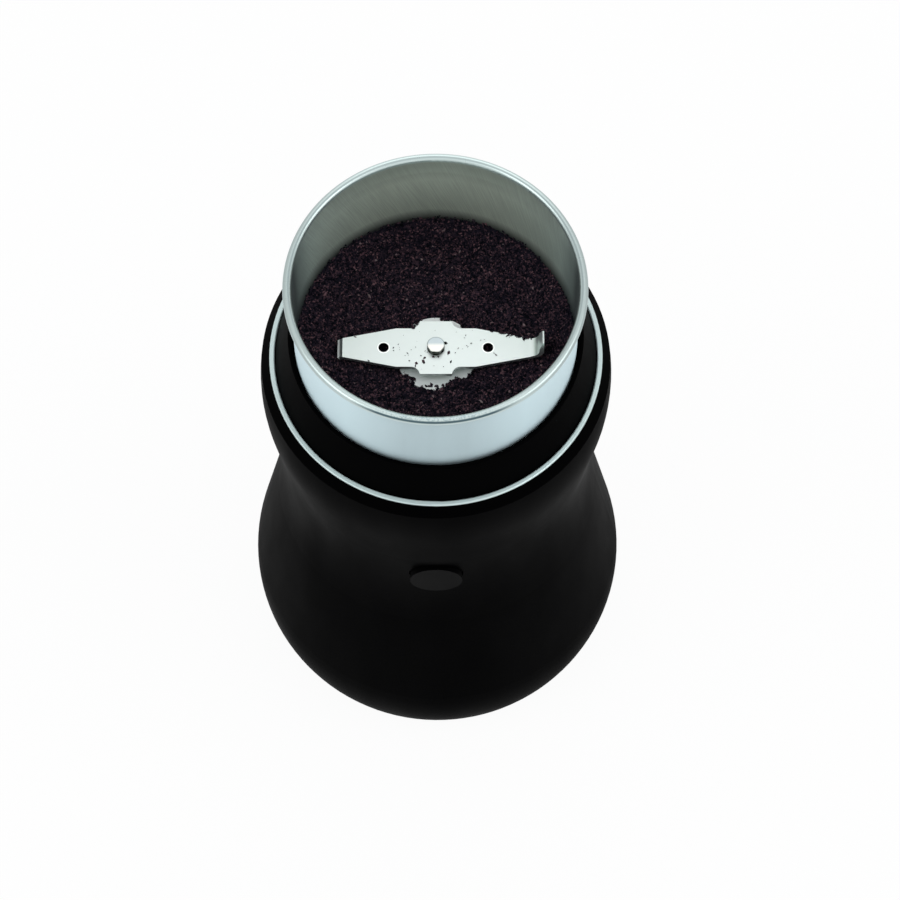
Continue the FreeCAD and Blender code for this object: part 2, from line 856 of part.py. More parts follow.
def make_base_cover():
    """Bottom plate with air slots, recesses for the feet and sunk screw holes."""
    body = doc.addObject("PartDesign::Body", "Cover")
    sketch = new_sketch(body, "XY_Plane", "Disc", cover_low)
    circle = sketch.addGeometry(
        Part.Circle(FreeCAD.Vector(), FreeCAD.Vector(0, 0, 1), cover_radius.value))
    sketch.addConstraint(Sketcher.Constraint("Coincident", circle, 3, -1, 1))
    hold(sketch, Sketcher.Constraint("Radius", circle, cover_radius.value), cover_radius)
    plate = body.newObject("PartDesign::Pad", "Plate")
    plate.Profile = sketch
    bind(plate, Length=s.cover_thick)
    doc.recompute()
    slot_sketch = new_sketch(body, "XY_Plane", "Slot", cover_low)
    half = s.vent_width * 0.5
    draw(slot_sketch, [
        (s.vent_inner, -half),
        (vent_outer, -half),
        Arc(s.vent_end),
        (vent_outer, half),
        (s.vent_inner, half),
        Arc(s.vent_end),
    ])
    doc.recompute()
    slot = body.newObject("PartDesign::Pocket", "AirSlot")
    slot.Profile = slot_sketch
    slot.Type = "ThroughAll"
    slot.Reversed = True
    doc.recompute()
    pattern = body.newObject("PartDesign::PolarPattern", "AirSlots")
    pattern.Originals = [slot]
    pattern.Axis = (slot_sketch, ["N_Axis"])
    pattern.Angle = 360
    pattern.Occurrences = AIR_SLOTS
    body.Tip = pattern
    doc.recompute()
    holes = []
    for x, y in ring_of(FEET, foot_circle):
        holes.append(cylinder(s.foot_radius + s.ring_fit, s.foot_recess + s.overrun, x, y,
                              cover_low - s.overrun))
    for x, y in ring_of(FEET, base_screw_circle, POST_TURN):
        holes.append(through(s.screw_radius + s.screw_play, x, y, cover_low, cover_top))
        holes.append(cylinder(s.screw_head_radius + s.screw_play, s.screw_head_height + s.overrun, x, y,
                              cover_low - s.overrun))
    return cut(body, group(*holes))


def make_rubber_feet():
    """Four feet seated in the cover's recesses."""
    return group(*[
        cylinder(s.foot_radius, cover_low + s.foot_recess, x, y, 0)
        for x, y in ring_of(FEET, foot_circle)
    ])


def make_base_screws():
    """Screws through the cover into the casing's posts, heads sunk in the cover."""
    return group(*[
        screw(x, y, cover_low + s.screw_head_height, s.base_screw_reach, s.screw_radius,
              s.screw_head_radius, s.screw_head_height)
        for x, y in ring_of(FEET, base_screw_circle, POST_TURN)
    ])


def make_motor_deck():
    """Round plate under the well; the motor hangs from it and both switches are held by it."""
    radius = casing_radius(deck_low, s.shell_wall) - s.deck_fit
    rooted = deck_low + s.sink
    front_y = button_switch_back()
    half = s.switch_length * 0.5
    front_low = button_level - s.switch_height * 0.5 - s.plate_margin
    back_y = rod_switch_back()
    low_x, high_x = rod_switch_span()
    back_low = rod_switch_top() - s.switch_height - s.plate_margin
    shelf_x = high_x + s.spring_play
    shelf_end = shelf_x + s.shelf_length
    shelf_low = spring_shelf() - s.shelf_thick
    shelf_back = back_y + s.shelf_depth
    added = [
        cylinder(radius, s.deck_thick, 0, 0, deck_low),
        block((-half, front_y, front_low), (half, front_y + s.switch_plate, rooted)),
        block((low_x, back_y - s.switch_plate, back_low), (high_x, back_y, rooted)),
        block((shelf_x, back_y, shelf_low), (shelf_end + s.shelf_thick, shelf_back, spring_shelf())),
        block((shelf_end, back_y, shelf_low), (shelf_end + s.shelf_thick, shelf_back, rooted)),
        block((high_x - s.switch_plate, back_y - s.switch_plate, shelf_low),
              (shelf_end + s.shelf_thick, back_y, rooted)),
    ]
    holes = [
        through(s.dog_radius + s.coupling_clear, 0, 0, deck_low, deck_top),
        block((low_x - s.plate_margin, back_y, deck_low - s.sink),
              (shelf_end, radius + s.overrun, deck_top + s.overrun)),
    ]
    for x, y in deck_screw_places():
        holes.append(through(s.screw_radius + s.ring_fit, x, y, deck_low, deck_top))
    for x, y in corners_of(post_x, post_y):
        holes.append(through(s.motor_screw_radius + s.ring_fit, x, y, deck_low, deck_top))
    return cut(join(*added), group(*holes))


def make_deck_screws():
    """Screws from below, through the deck into the bosses of the well."""
    reach = s.deck_thick + s.deck_gap + s.deck_screw_bite
    return group(*[
        screw(x, y, deck_low, reach, s.screw_radius, s.screw_head_radius, s.screw_head_height)
        for x, y in deck_screw_places()
    ])


def make_motor_dampers():
    """Rubber rings between the motor's top bracket and the deck."""
    rings = []
    for x, y in corners_of(post_x, post_y):
        ring = cylinder(s.damper_radius, s.damper_thick, x, y, bracket_top)
        rings.append(cut(ring, through(s.motor_screw_radius + s.ring_fit, x, y, bracket_top, deck_low)))
    return group(*rings)


def make_motor_screws():
    """Long screws from the bottom bracket up through the core into the deck."""
    reach = deck_top - s.motor_screw_short - foot_bracket_low
    return group(*[
        screw(x, y, foot_bracket_low, reach, s.motor_screw_radius, s.post_radius, s.screw_head_height)
        for x, y in corners_of(post_x, post_y)
    ])


def make_bracket(low, post_low, post_high, bearing_low):
    """Cross-shaped bearing bracket with four posts that run from one level to another."""
    half = s.bracket_width * 0.5
    high = low + s.bracket_thick
    seat = s.bearing_radius + s.bearing_wall
    added = [
        cylinder(seat, s.bearing_height, 0, 0, bearing_low),
        block((-post_x - s.post_radius, -half, low), (post_x + s.post_radius, half, high)),
    ]
    for side in (-1, 1):
        x = post_x * side
        added.append(block((x - s.post_radius, -post_y, low), (x + s.post_radius, post_y, high)))
    holes = [through(s.bearing_radius + s.thread_gap, 0, 0, bearing_low, bearing_low + s.bearing_height)]
    for x, y in corners_of(post_x, post_y):
        added.append(cylinder(s.post_radius, post_high - post_low, x, y, post_low))
        holes.append(through(s.motor_screw_radius + s.ring_fit, x, y, post_low, post_high))
    return cut(join(*added), group(*holes))


def make_top_bracket():
    """Bracket over the commutator end, with the upper bearing's seat."""
    return make_bracket(bracket_low, core_top, bracket_top, bracket_top - s.bearing_height)


def make_bottom_bracket():
    """Bracket under the fan, with the lower bearing's seat."""
    return make_bracket(foot_bracket_low, foot_bracket_low, core_low, foot_bracket_top - s.bearing_height)


def make_bearing(top):
    """Sintered sleeve bearing for the motor shaft."""
    return sleeve(s.spindle_radius + s.running_gap, s.bearing_radius, top - s.bearing_height, top)


def make_stator_core():
    """Laminated core with a bore for the armature and four windows for the field coils."""
    x, y, chamfer = core_half_x, core_half_y, s.core_chamfer
    body = padded([
        (x - chamfer, -y), (x, -y + chamfer), (x, y - chamfer), (x - chamfer, y),
        (-x + chamfer, y), (-x, y - chamfer), (-x, -y + chamfer), (-x + chamfer, -y),
    ], core_low, s.core_height)
    holes = [through(s.core_bore, 0, 0, core_low, core_top)]
    for px, py in corners_of(post_x, post_y):
        holes.append(through(s.motor_screw_radius + s.ring_fit, px, py, core_low, core_top))
    for side_x in (-1, 1):
        for side_y in (-1, 1):
            holes.append(coil_window(side_x, side_y))
    return cut(body, group(*holes))


def coil_window(side_x, side_y):
    """One window of the core, a little wider than the coil in it."""
    xs = mirrored(s.coil_inner_x - s.coil_play, s.coil_inner_x + s.coil_width + s.coil_play, side_x)
    ys = mirrored(s.coil_inner_y - s.coil_play, s.coil_inner_y + s.coil_depth + s.coil_play, side_y)
    return block((xs[0], ys[0], core_low - s.overrun), (xs[1], ys[1], core_top + s.overrun))


def make_field_coils():
    """Two coils, each a flat loop through two windows and over both ends of the core."""
    coils = []
    reach = s.coil_inner_y + s.coil_depth
    for side in (-1, 1):
        near, far = mirrored(s.coil_inner_x, s.coil_inner_x + s.coil_width, side)
        outer = block((near, -reach, core_low - s.coil_overhang), (far, reach, core_top + s.coil_overhang))
        inner = block((near - s.overrun, -s.coil_inner_y, core_low - s.coil_play),
                      (far + s.overrun, s.coil_inner_y, core_top + s.coil_play))
        coils.append(cut(outer, inner))
    return group(*coils)


def make_armature_core():
    """Slotted rotor core on the motor shaft."""
    radius = s.core_bore - s.air_gap
    body = cylinder(radius, s.core_height, 0, 0, core_low)
    holes = [through(s.spindle_radius, 0, 0, core_low, core_top)]
    for number in range(ROTOR_SLOTS):
        holes.append(turned_block(
            (radius - s.rotor_slot_depth, s.rotor_slot_width * -0.5, core_low - s.overrun),
            (radius + s.overrun, s.rotor_slot_width * 0.5, core_top + s.overrun),
            360.0 / ROTOR_SLOTS * number))
    return cut(body, group(*holes))


def make_armature_windings():
    """Rounded end turns of the armature, above and below its core."""
    ends = []
    height = s.coil_overhang - s.winding_short
    soft = s.winding_round
    inner = s.spindle_radius + s.winding_gap
    outer = s.coil_inner_x - s.winding_gap
    for level, sign in ((core_top + s.touch_gap, 1), (core_low - s.touch_gap, -1)):
        far = level + height * sign
        corner = far - soft * sign
        outline = [(inner, level), (outer, level), (outer, corner),
                   Arc(soft, left=sign > 0), (outer - soft, far), (inner, far)]
        ends.append(revolved(outline))
    return group(*ends)


def make_commutator():
    """Copper commutator with mica slots."""
    body = sleeve(s.spindle_radius, s.commutator_radius, commutator_low, commutator_top)
    slots = [
        turned_block(
            (s.commutator_radius - s.bar_slot_depth, s.bar_slot_width * -0.5, commutator_low - s.overrun),
            (s.commutator_radius + s.overrun, s.bar_slot_width * 0.5, commutator_top + s.overrun),
            360.0 / COMMUTATOR_BARS * number)
        for number in range(COMMUTATOR_BARS)
    ]
    return cut(body, group(*slots))


def make_cooling_fan():
    """Radial fan under the armature: a disc with upright blades."""
    disc_low = fan_low + s.fan_height - s.fan_disc
    half = s.fan_blade_thick * 0.5
    added = [
        cylinder(s.fan_radius, s.fan_disc, 0, 0, disc_low),
        cylinder(s.fan_hub, s.fan_height, 0, 0, fan_low),
    ]
    for number in range(FAN_BLADES):
        added.append(turned_block((s.fan_hub - s.sink, -half, fan_low),
                                  (s.fan_radius, half, disc_low + s.sink), 360.0 / FAN_BLADES * number))
    return cut(join(*added), through(s.spindle_radius, 0, 0, fan_low, fan_low + s.fan_height))


def make_motor_shaft():
    """Motor shaft from the lower bearing to the driving dog."""
    low = foot_bracket_top - s.bearing_height - s.shaft_proud
    return cylinder(s.spindle_radius, drive_top - low, 0, 0, low)


def make_thrust_washers():
    """Washers on the shaft on the inner side of each bearing."""
    return group(*[
        sleeve(s.spindle_radius, s.bearing_radius - s.washer_step, low, low + s.washer_thick)
        for low in (top_washer, foot_bracket_top + s.washer_gap)
    ])


def tooth(inner, outer, low, height, middle):
    """One dog tooth, a sector about the middle axis."""
    half = s.dog_angle * 0.5

    def corner(radius, angle):
        """A point of the tooth's plan."""
        return (radius * cosine(angle), radius * sine(angle))

    return padded([
        corner(inner, middle - half),
        corner(outer, middle - half),
        Arc(outer),
        corner(outer, middle + half),
        corner(inner, middle + half),
        Arc(inner, left=False),
    ], low, height)


def make_drive_coupling():
    """Driving dog on the motor shaft, teeth up."""
    added = [cylinder(s.dog_radius, s.dog_disc, 0, 0, drive_low)]
    for number in range(DOGS):
        added.append(tooth(s.dog_inner, s.dog_radius, drive_top - s.sink, s.dog_tooth + s.sink,
                           DRIVE_TURN + 360.0 / DOGS * number))
    return cut(join(*added), through(s.spindle_radius, 0, 0, drive_low, drive_top))


def make_driven_coupling():
    """Driven dog on the spindle, teeth down between those of the driving dog."""
    added = [cylinder(s.dog_radius, s.dog_disc, 0, 0, driven_low)]
    for number in range(DOGS):
        added.append(tooth(s.dog_inner, s.dog_radius, teeth_low, s.dog_tooth + s.sink,
                           DRIVEN_TURN + 360.0 / DOGS * number))
    return cut(join(*added), through(s.spindle_radius, 0, 0, driven_low, driven_top))


def make_brush_holders():
    """Brass-lined boxes under the top bracket, one on each side of the commutator."""
    holders = []
    half_y = s.brush_width * 0.5
    half_z = s.brush_height * 0.5
    start = s.commutator_radius + s.holder_gap
    end = start + s.holder_length
    for side in (-1, 1):
        near, far = mirrored(start, end, side)
        shell = block((near, -half_y - s.brush_wall, brush_level - half_z - s.brush_wall),
                      (far, half_y + s.brush_wall, bracket_low))
        near, far = mirrored(start - s.overrun, end - s.brush_wall, side)
        holders.append(cut(shell, block((near, -half_y, brush_level - half_z),
                                        (far, half_y, brush_level + half_z))))
    return group(*holders)


def brush_start():
    """Distance from the middle axis to the face of a brush."""
    return s.commutator_radius + s.touch_gap


def make_carbon_brushes():
    """Two brushes that slide in their holders and touch the commutator."""
    half_y = s.brush_width * 0.5 - s.running_gap
    half_z = s.brush_height * 0.5 - s.running_gap
    brushes = []
    for side in (-1, 1):
        near, far = mirrored(brush_start(), brush_start() + s.brush_length, side)
        brushes.append(block((near, -half_y, brush_level - half_z), (far, half_y, brush_level + half_z)))
    return group(*brushes)


def make_brush_springs():
    """Coil springs behind the brushes, kept as plain sleeves inside their holders."""
    springs = []
    start = brush_start() + s.brush_length + s.touch_gap
    end = s.commutator_radius + s.holder_gap + s.holder_length - s.brush_wall - s.touch_gap
    radius = s.brush_width * 0.5 - s.brush_spring_gap
    for side in (-1, 1):
        along = (side, 0, 0)
        outer = cylinder(radius, end - start, start * side, 0, brush_level, along=along)
        inner = cylinder(radius - s.brush_spring_wall, end - start, start * side, 0, brush_level, along=along)
        springs.append(cut(outer, inner))
    return group(*springs)


def make_thermal_fuse():
    """Thermal fuse lying on one field coil."""
    return cylinder(s.fuse_radius, s.fuse_length, s.coil_inner_x + s.coil_width * 0.5,
                    s.coil_inner_y - s.fuse_inset, core_top + s.coil_overhang + s.fuse_radius,
                    along=(0, 1, 0))


def make_terminal_block():
    """Terminal block on the base cover, with a row of clamp wells."""
    half_x, half_y = s.terminal_x * 0.5, s.terminal_y * 0.5
    top = cover_top + s.terminal_z
    body = block((-foot_circle - half_x, -half_y, cover_top), (-foot_circle + half_x, half_y, top))
    wells = [
        cylinder(s.terminal_well, s.terminal_well_depth + s.overrun, -foot_circle,
                 s.terminal_pitch * (number - (TERMINALS - 1) / 2), top - s.terminal_well_depth)
        for number in range(TERMINALS)
    ]
    return cut(body, group(*wells))


def make_suppressor():
    """Interference suppressor capacitor on the base cover."""
    half_x, half_y = s.capacitor_x * 0.5, s.capacitor_y * 0.5
    return block((foot_circle - half_x, -half_y, cover_top),
                 (foot_circle + half_x, half_y, cover_top + s.capacitor_z))


def make_cord_bush():
    """Rubber bush in the hole at the back of the foot, flush with the casing."""
    outer_y = s.base_radius - s.inlet_sunk
    flange_radius = s.inlet_radius + s.inlet_flange
    lowest = bulge_level - inlet_level + flange_radius
    start = base_centre + leg(s.base_arc - s.shell_wall, lowest) - s.inlet_slack - s.inlet_flange
    inward = (0, 1, 0)
    body = cylinder(s.inlet_radius, outer_y - start, 0, start, inlet_level, along=inward)
    flange = cylinder(flange_radius, s.inlet_flange, 0, start, inlet_level, along=inward)
    bore = cylinder(s.inlet_bore, outer_y - start + 2 * s.overrun, 0, start - s.overrun, inlet_level,
                    along=inward)
    return cut(join(body, flange), bore)


def button_wall():
    """Distance from the middle axis to the casing's inner face at the button's level."""
    return waist_radius(button_level, s.shell_wall)


def button_flange_front():
    """Front face of the button's flange, as a distance from the middle axis."""
    return button_wall() - s.button_seat_gap


def button_stem_end():
    """Inner end of the button's stem, as a distance from the middle axis."""
    return button_flange_front() - s.button_flange_thick - s.button_stem_length


def button_switch_front():
    """Front face of the button's switch, as a distance from the middle axis."""
    return button_stem_end() - s.button_travel - s.touch_gap - s.switch_pin


def button_switch_back():
    """Back face of the button's switch, as a Y coordinate."""
    return -(button_switch_front() - s.switch_thick)


def make_power_button():
    """Round push button: cap, retaining flange and stem along the button's travel."""
    face = waist_radius(button_level, as_size(0)) + s.button_proud
    front = button_flange_front()
    inward = (0, 1, 0)
    return join(
        cylinder(s.button_radius, face - front + s.button_flange_thick, 0, -face, button_level,
                 along=inward),
        cylinder(s.button_radius + s.button_flange, s.button_flange_thick, 0, -front, button_level,
                 along=inward),
        cylinder(s.button_stem, front - button_stem_end(), 0, -front, button_level, along=inward),
    )


def make_button_spring():
    """Return spring round the button's stem, kept as a plain sleeve."""
    start = button_flange_front() - s.button_flange_thick
    length = start - button_switch_front()
    inner = s.button_stem + s.spring_play
    outer = cylinder(inner + s.spring_wall, length, 0, -start, button_level, along=(0, 1, 0))
    return cut(outer, cylinder(inner, length, 0, -start, button_level, along=(0, 1, 0)))


def make_power_switch():
    """Snap switch behind the button, pin towards the button's stem."""
    half_x, half_z = s.switch_length * 0.5, s.switch_height * 0.5
    front = button_switch_front()
    body = block((-half_x, -front, button_level - half_z),
                 (half_x, button_switch_back(), button_level + half_z))
    pin = cylinder(s.switch_pin_radius, s.switch_pin + s.sink, 0, -front - s.switch_pin, button_level,
                   along=(0, 1, 0))
    return join(body, pin)


def rod_foot_top():
    """Top of the interlock rod's foot: just under the well floor."""
    return well_low - s.rod_foot_gap


def rod_switch_top():
    """Top face of the interlock switch."""
    return rod_foot_top() - s.rod_foot - s.rod_travel - s.touch_gap - s.switch_pin


def rod_switch_back():
    """Inner face of the interlock switch, as a Y coordinate."""
    return rod_circle - s.rod_radius * 2 - s.rod_switch_gap - s.switch_thick


def rod_switch_span():
    """Left and right end of the interlock switch."""
    half = s.switch_length * 0.5
    return -half - s.switch_offset, half - s.switch_offset


def spring_place():
    """Middle of the interlock spring, on the middle of its shelf."""
    high_x = rod_switch_span()[1]
    return high_x + s.spring_play + s.shelf_length * 0.5, rod_switch_back() + s.shelf_depth * 0.5


def spring_shelf():
    """Top of the shelf that the interlock spring stands on."""
    return rod_switch_top() - s.shelf_drop


def make_interlock_rod():
    """Push rod that the lid presses: pin through the collar, foot over switch and spring."""
    top = slot_floor + s.rod_travel
    foot_top = rod_foot_top()
    low = foot_top - s.rod_foot
    wing_y = rod_switch_back() + s.wing_inset
    pin = cylinder(s.rod_radius, top - low, 0, rod_circle, low)
    arm = block((-s.rod_arm_half, wing_y, low), (s.rod_arm_half, rod_circle, foot_top))
    wing = block((-s.rod_arm_half, wing_y, low),
                 (spring_place()[0] + s.wing_margin, wing_y + s.wing_depth, foot_top))
    return join(pin, arm, wing)


def make_interlock_spring():
    """Return spring under the rod's foot, kept as a plain sleeve."""
    x, y = spring_place()
    low = spring_shelf()
    length = rod_foot_top() - s.rod_foot - low
    outer = cylinder(s.rod_spring_radius, length, x, y, low)
    return cut(outer, cylinder(s.rod_spring_radius - s.rod_spring_wall, length, x, y, low))


def make_interlock_switch():
    """Snap switch under the rod's foot, pin up."""
    low_x, high_x = rod_switch_span()
    back_y = rod_switch_back()
    top = rod_switch_top()
    body = block((low_x, back_y, top - s.switch_height), (high_x, back_y + s.switch_thick, top))
    pin = cylinder(s.switch_pin_radius, s.switch_pin + s.sink, 0, back_y + s.switch_thick * 0.5,
                   top - s.sink)
    return join(body, pin)


def make_grinding_cup():
    """Pressed steel cup: raised boss in the floor, wall that spreads a little to its rolled bead."""
    outer_corner = s.cup_corner + s.cup_wall
    bead_middle = cup_inner + s.bead_radius
    bead_drop = leg(s.bead_radius, bead_middle - s.cup_radius)
    boss_top_radius = s.boss_radius - s.boss_taper
    spread_low = rim_level - s.bead_spread_height
    return revolved([
        (bush_radius, boss_level - s.cup_wall),
        (boss_top_radius, boss_level - s.cup_wall),
        (s.boss_radius, cup_low),
        (s.cup_radius - outer_corner, cup_low),
        Arc(outer_corner),
        (s.cup_radius, cup_low + outer_corner),
        (s.cup_radius, spread_low),
        (s.cup_radius + s.bead_spread, rim_level - bead_drop),
        Arc(s.bead_radius, long_way=True),
        (cup_inner + s.bead_spread, rim_level),
        (cup_inner, spread_low),
        (cup_inner, cup_floor + s.cup_corner),
        Arc(s.cup_corner, left=False),
        (cup_inner - s.cup_corner, cup_floor),
        (s.boss_radius + s.cup_wall * 0.5, cup_floor),
        (boss_top_radius + s.cup_wall * 0.5, boss_level),
        (bush_radius, boss_level),
    ])


def make_cup_carrier():
    """Moulded carrier under the cup: top plate, skirt with key notches and a hub for the bush."""
    outer = s.cup_radius - s.carrier_play
    corner = s.cup_radius - s.cup_corner - s.cup_wall
    hub_low = driven_top + s.washer_thick + s.hub_gap
    seat_radius = s.boss_radius + s.boss_seat_gap
    body = revolved([
        (bush_radius, hub_low),
        (s.carrier_hub, hub_low),
        (s.carrier_hub, plate_low),
        (outer - s.carrier_wall, plate_low),
        (outer - s.carrier_wall, carrier_low),
        (outer, carrier_low),
        (outer, cup_low - s.carrier_step),
        (corner, cup_low - s.carrier_step),
        (corner, cup_low),
        (seat_radius, cup_low),
        (seat_radius, cup_low - s.boss_seat_drop),
        (bush_radius, cup_low - s.boss_seat_drop),
    ])
    notch = s.key_width * 0.5 + s.key_play
    holes = [
        turned_block((outer - s.key_depth - s.carrier_wall, -notch, carrier_low - s.overrun),
                     (outer + s.overrun, notch, carrier_low + s.key_height + s.key_play),
                     KEY_TURN + 360.0 / KEYS * number)
        for number in range(KEYS)
    ]
    for x, y in ring_of(SMALL_SCREWS, carrier_screw_circle, SMALL_SCREW_TURN):
        holes.append(through(s.small_screw_radius + s.ring_fit, x, y, plate_low, cup_low))
    return cut(body, group(*holes))


def make_carrier_screws():
    """Small screws up through the carrier's plate."""
    return group(*[
        screw(x, y, plate_low, s.carrier_top - s.touch_gap, s.small_screw_radius,
              s.carrier_head_radius, s.screw_head_height)
        for x, y in ring_of(SMALL_SCREWS, carrier_screw_circle, SMALL_SCREW_TURN)
    ])


def make_spindle_bush():
    """Bronze bush in the carrier's hub, with a flange on the cup's boss."""
    inner = s.spindle_radius + s.running_gap
    outer = bush_radius - s.thread_gap
    low = driven_top + s.washer_thick + s.touch_gap
    return revolved([
        (inner, low),
        (outer, low),
        (outer, boss_level),
        (outer + s.bush_flange, boss_level),
        (outer + s.bush_flange, bush_top),
        (inner, bush_top),
    ])


def make_shaft_seal():
    """Rubber seal ring between the bush and the blade's washer."""
    inner = s.spindle_radius + s.running_gap
    return sleeve(inner, inner + s.seal_width, bush_top, seal_top)


def make_spindle():
    """Spindle with a shoulder under the blade and a peened head with flats above it."""
    tip, soft = s.spindle_tip_radius, s.head_round
    head_top = blade_top + s.spindle_head
    shoulder = cylinder(s.spindle_radius, blade_low - driven_low, 0, 0, driven_low)
    neck = cylinder(tip, s.blade_thick + s.sink, 0, 0, blade_low - s.sink)
    head = revolved([
        (0, blade_top),
        (tip, blade_top),
        (tip, head_top - soft),
        Arc(soft),
        (tip - soft, head_top),
        (0, head_top),
    ])
    flats = [
        turned_block((s.head_flat, -tip - s.overrun, blade_top),
                     (tip + s.overrun, tip + s.overrun, head_top + s.overrun), angle)
        for angle in HEAD_FLATS
    ]
    return cut(join(shoulder, neck, head), group(*flats))


def make_spindle_washers():
    """Washers on the spindle: one under the blade, one over the driven dog."""
    return group(
        sleeve(s.spindle_radius, s.spindle_radius + s.driven_washer_width, driven_top,
               driven_top + s.washer_thick),
        sleeve(s.spindle_radius, s.spindle_radius + s.blade_washer_width, seal_top + s.touch_gap,
               blade_low),
    )


def make_grinding_blade():
    """Two-armed blade cut from strip: short left tip bent down, long right tip turned up and ground thin."""
    thick = s.blade_thick
    right, left = blade_reach, blade_reach - s.blade_offset
    bend_outer = s.blade_bend + thick
    bend_start = right - bend_outer
    flange_end = blade_low + s.blade_flange_height
    cos, sin = cosine(s.blade_tip_angle), sine(s.blade_tip_angle)
    knee = s.blade_tip_inset - left
    tip_x = knee - s.blade_tip_length * cos
    tip_z = blade_top - s.blade_tip_length * sin
    side = padded([
        (knee + thick * tangent(s.blade_tip_angle * 0.5), blade_low),
        (bend_start, blade_low),
        Arc(bend_outer),
        (right, blade_low + bend_outer),
        (right, flange_end),
        (right - s.blade_edge, flange_end),
        (right - thick, flange_end - s.blade_bevel),
        (right - thick, blade_low + bend_outer),
        Arc(s.blade_bend, left=False),
        (bend_start, blade_top),
        (knee, blade_top),
        (tip_x, tip_z),
        (tip_x + thick * sin, tip_z - thick * cos),
    ], -s.blade_hub_width, s.blade_hub_width * 2, role="XZ_Plane")
    hub = s.blade_hub_width * 0.5
    arm = s.blade_arm_width * 0.5
    tip = s.blade_tip_width * 0.5
    far_side = [
        (right + s.blade_tip_length, tip),
        (right - s.blade_taper_end, tip),
        (s.blade_taper_start, arm),
        (s.blade_neck, arm),
        Arc(s.blade_fillet, left=False),
        (s.blade_hub_half, hub),
        (-s.blade_hub_half, hub),
        Arc(s.blade_fillet, left=False),
        (-s.blade_neck, arm),
        (-s.blade_taper_start, arm),
        (-left, tip),
        (-left - s.blade_tip_length, tip),
    ]
    near_side = [item if isinstance(item, Arc) else (item[0], -item[1]) for item in reversed(far_side)]
    plan = padded(far_side + near_side, blade_low - thick, s.blade_flange_height + thick * 2)
    round_start = -tip + s.blade_corner_width
    round_end = flange_end - s.blade_corner_drop
    corner = padded([
        (round_start, flange_end),
        Arc(s.blade_corner),
        (-tip, round_end),
        (-tip - s.overrun, round_end),
        (-tip - s.overrun, flange_end + s.overrun),
        (round_start, flange_end + s.overrun),
    ], bend_start, bend_outer + s.overrun, role="YZ_Plane")
    holes = [through(s.spindle_tip_radius, 0, 0, blade_low, blade_top), corner]
    for sign in (-1, 1):
        holes.append(through(s.blade_hole_radius, s.blade_hole_offset * sign, 0, blade_low, blade_top))
    return cut(overlap(side, plan), group(*holes))


def make_ground_spice():
    """Loose ground spice in the cup: low under the blade's sweep, heaped against the wall."""
    inner = cup_inner - s.thread_gap
    corner = s.cup_corner - s.thread_gap
    floor = cup_floor + s.thread_gap
    boss = s.boss_radius + s.cup_wall * 0.5 + s.thread_gap
    sweep = blade_reach + s.sweep_clear
    return revolved([
        (boss, floor),
        (inner - corner, floor),
        Arc(corner),
        (inner, floor + corner),
        (inner, blade_low + s.heap_wall_rise),
        (sweep + s.heap_knee, blade_low + s.heap_knee_rise),
        (sweep, blade_low - s.heap_edge_drop),
        (s.boss_radius + s.heap_floor_reach, blade_low - s.heap_floor_drop),
        (boss - s.boss_taper + s.heap_boss_gap, boss_level - s.heap_boss_gap),
    ])


PIECES = {
    "base_cover": make_base_cover,
    "rubber_feet": make_rubber_feet,
    "base_screws": make_base_screws,
    "housing_shell": make_housing_shell,
    "trim_ring": make_trim_ring,
    "top_collar": make_top_collar,
    "collar_screws": make_collar_screws,
    "motor_deck": make_motor_deck,
    "deck_screws": make_deck_screws,
    "motor_dampers": make_motor_dampers,
    "motor_screws": make_motor_screws,
    "top_bracket": make_top_bracket,
    "bottom_bracket": make_bottom_bracket,
    "top_bearing": lambda: make_bearing(bracket_top),
    "bottom_bearing": lambda: make_bearing(foot_bracket_top),
    "stator_core": make_stator_core,
    "field_coils": make_field_coils,
    "brush_holders": make_brush_holders,
    "carbon_brushes": make_carbon_brushes,
    "brush_springs": make_brush_springs,
    "thermal_fuse": make_thermal_fuse,
    "motor_shaft": make_motor_shaft,
    "armature_core": make_armature_core,
    "armature_windings": make_armature_windings,
    "commutator": make_commutator,
    "cooling_fan": make_cooling_fan,
    "thrust_washers": make_thrust_washers,
    "drive_coupling": make_drive_coupling,
    "power_button": make_power_button,
    "button_spring": make_button_spring,
    "power_switch": make_power_switch,
    "interlock_rod": make_interlock_rod,
    "interlock_spring": make_interlock_spring,
    "interlock_switch": make_interlock_switch,
    "terminal_block": make_terminal_block,
    "suppressor_capacitor": make_suppressor,
    "cord_bush": make_cord_bush,
    "grinding_cup": make_grinding_cup,
    "cup_carrier": make_cup_carrier,
    "carrier_screws": make_carrier_screws,
    "spindle_bush": make_spindle_bush,
    "shaft_seal": make_shaft_seal,
    "spindle": make_spindle,
    "spindle_washers": make_spindle_washers,
    "driven_coupling": make_driven_coupling,
    "grinding_blade": make_grinding_blade,
    "ground_spice": make_ground_spice,
}


def check(pieces):
    """Stop if any object failed or any piece has no valid shape."""
    failed = [item for item in doc.Objects if "Invalid" in item.State or "Error" in item.State]
    if failed:
        names = ", ".join(f"{item.Name} ({item.Label})" for item in failed)
        raise RuntimeError(f"not computed: {names}")
    for name, feature in pieces.items():
        shape = feature.Shape
        if shape.isNull() or not shape.isValid() or not shape.Solids:
            raise RuntimeError(f"{name} has no valid solid")
        print(f"{name}: {len(shape.Solids)} solids, {shape.Volume / 1000:.2f} cm3")


def main():
    """Build every piece, check them all and write them out."""
    pieces = {}
    for name, make in PIECES.items():
        feature = make()
        feature.Label = name
        pieces[name] = feature
    doc.recompute()
    check(pieces)
    os.makedirs("parts", exist_ok=True)
    for name, feature in pieces.items():
        feature.Shape.exportStep(f"parts/{name}.step")


main()
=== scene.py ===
"""Looks of the electric spice grinder: finishes, ground spice, specks on the blade, and studio.

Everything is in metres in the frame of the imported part: +Z up, -Y the front.
"""

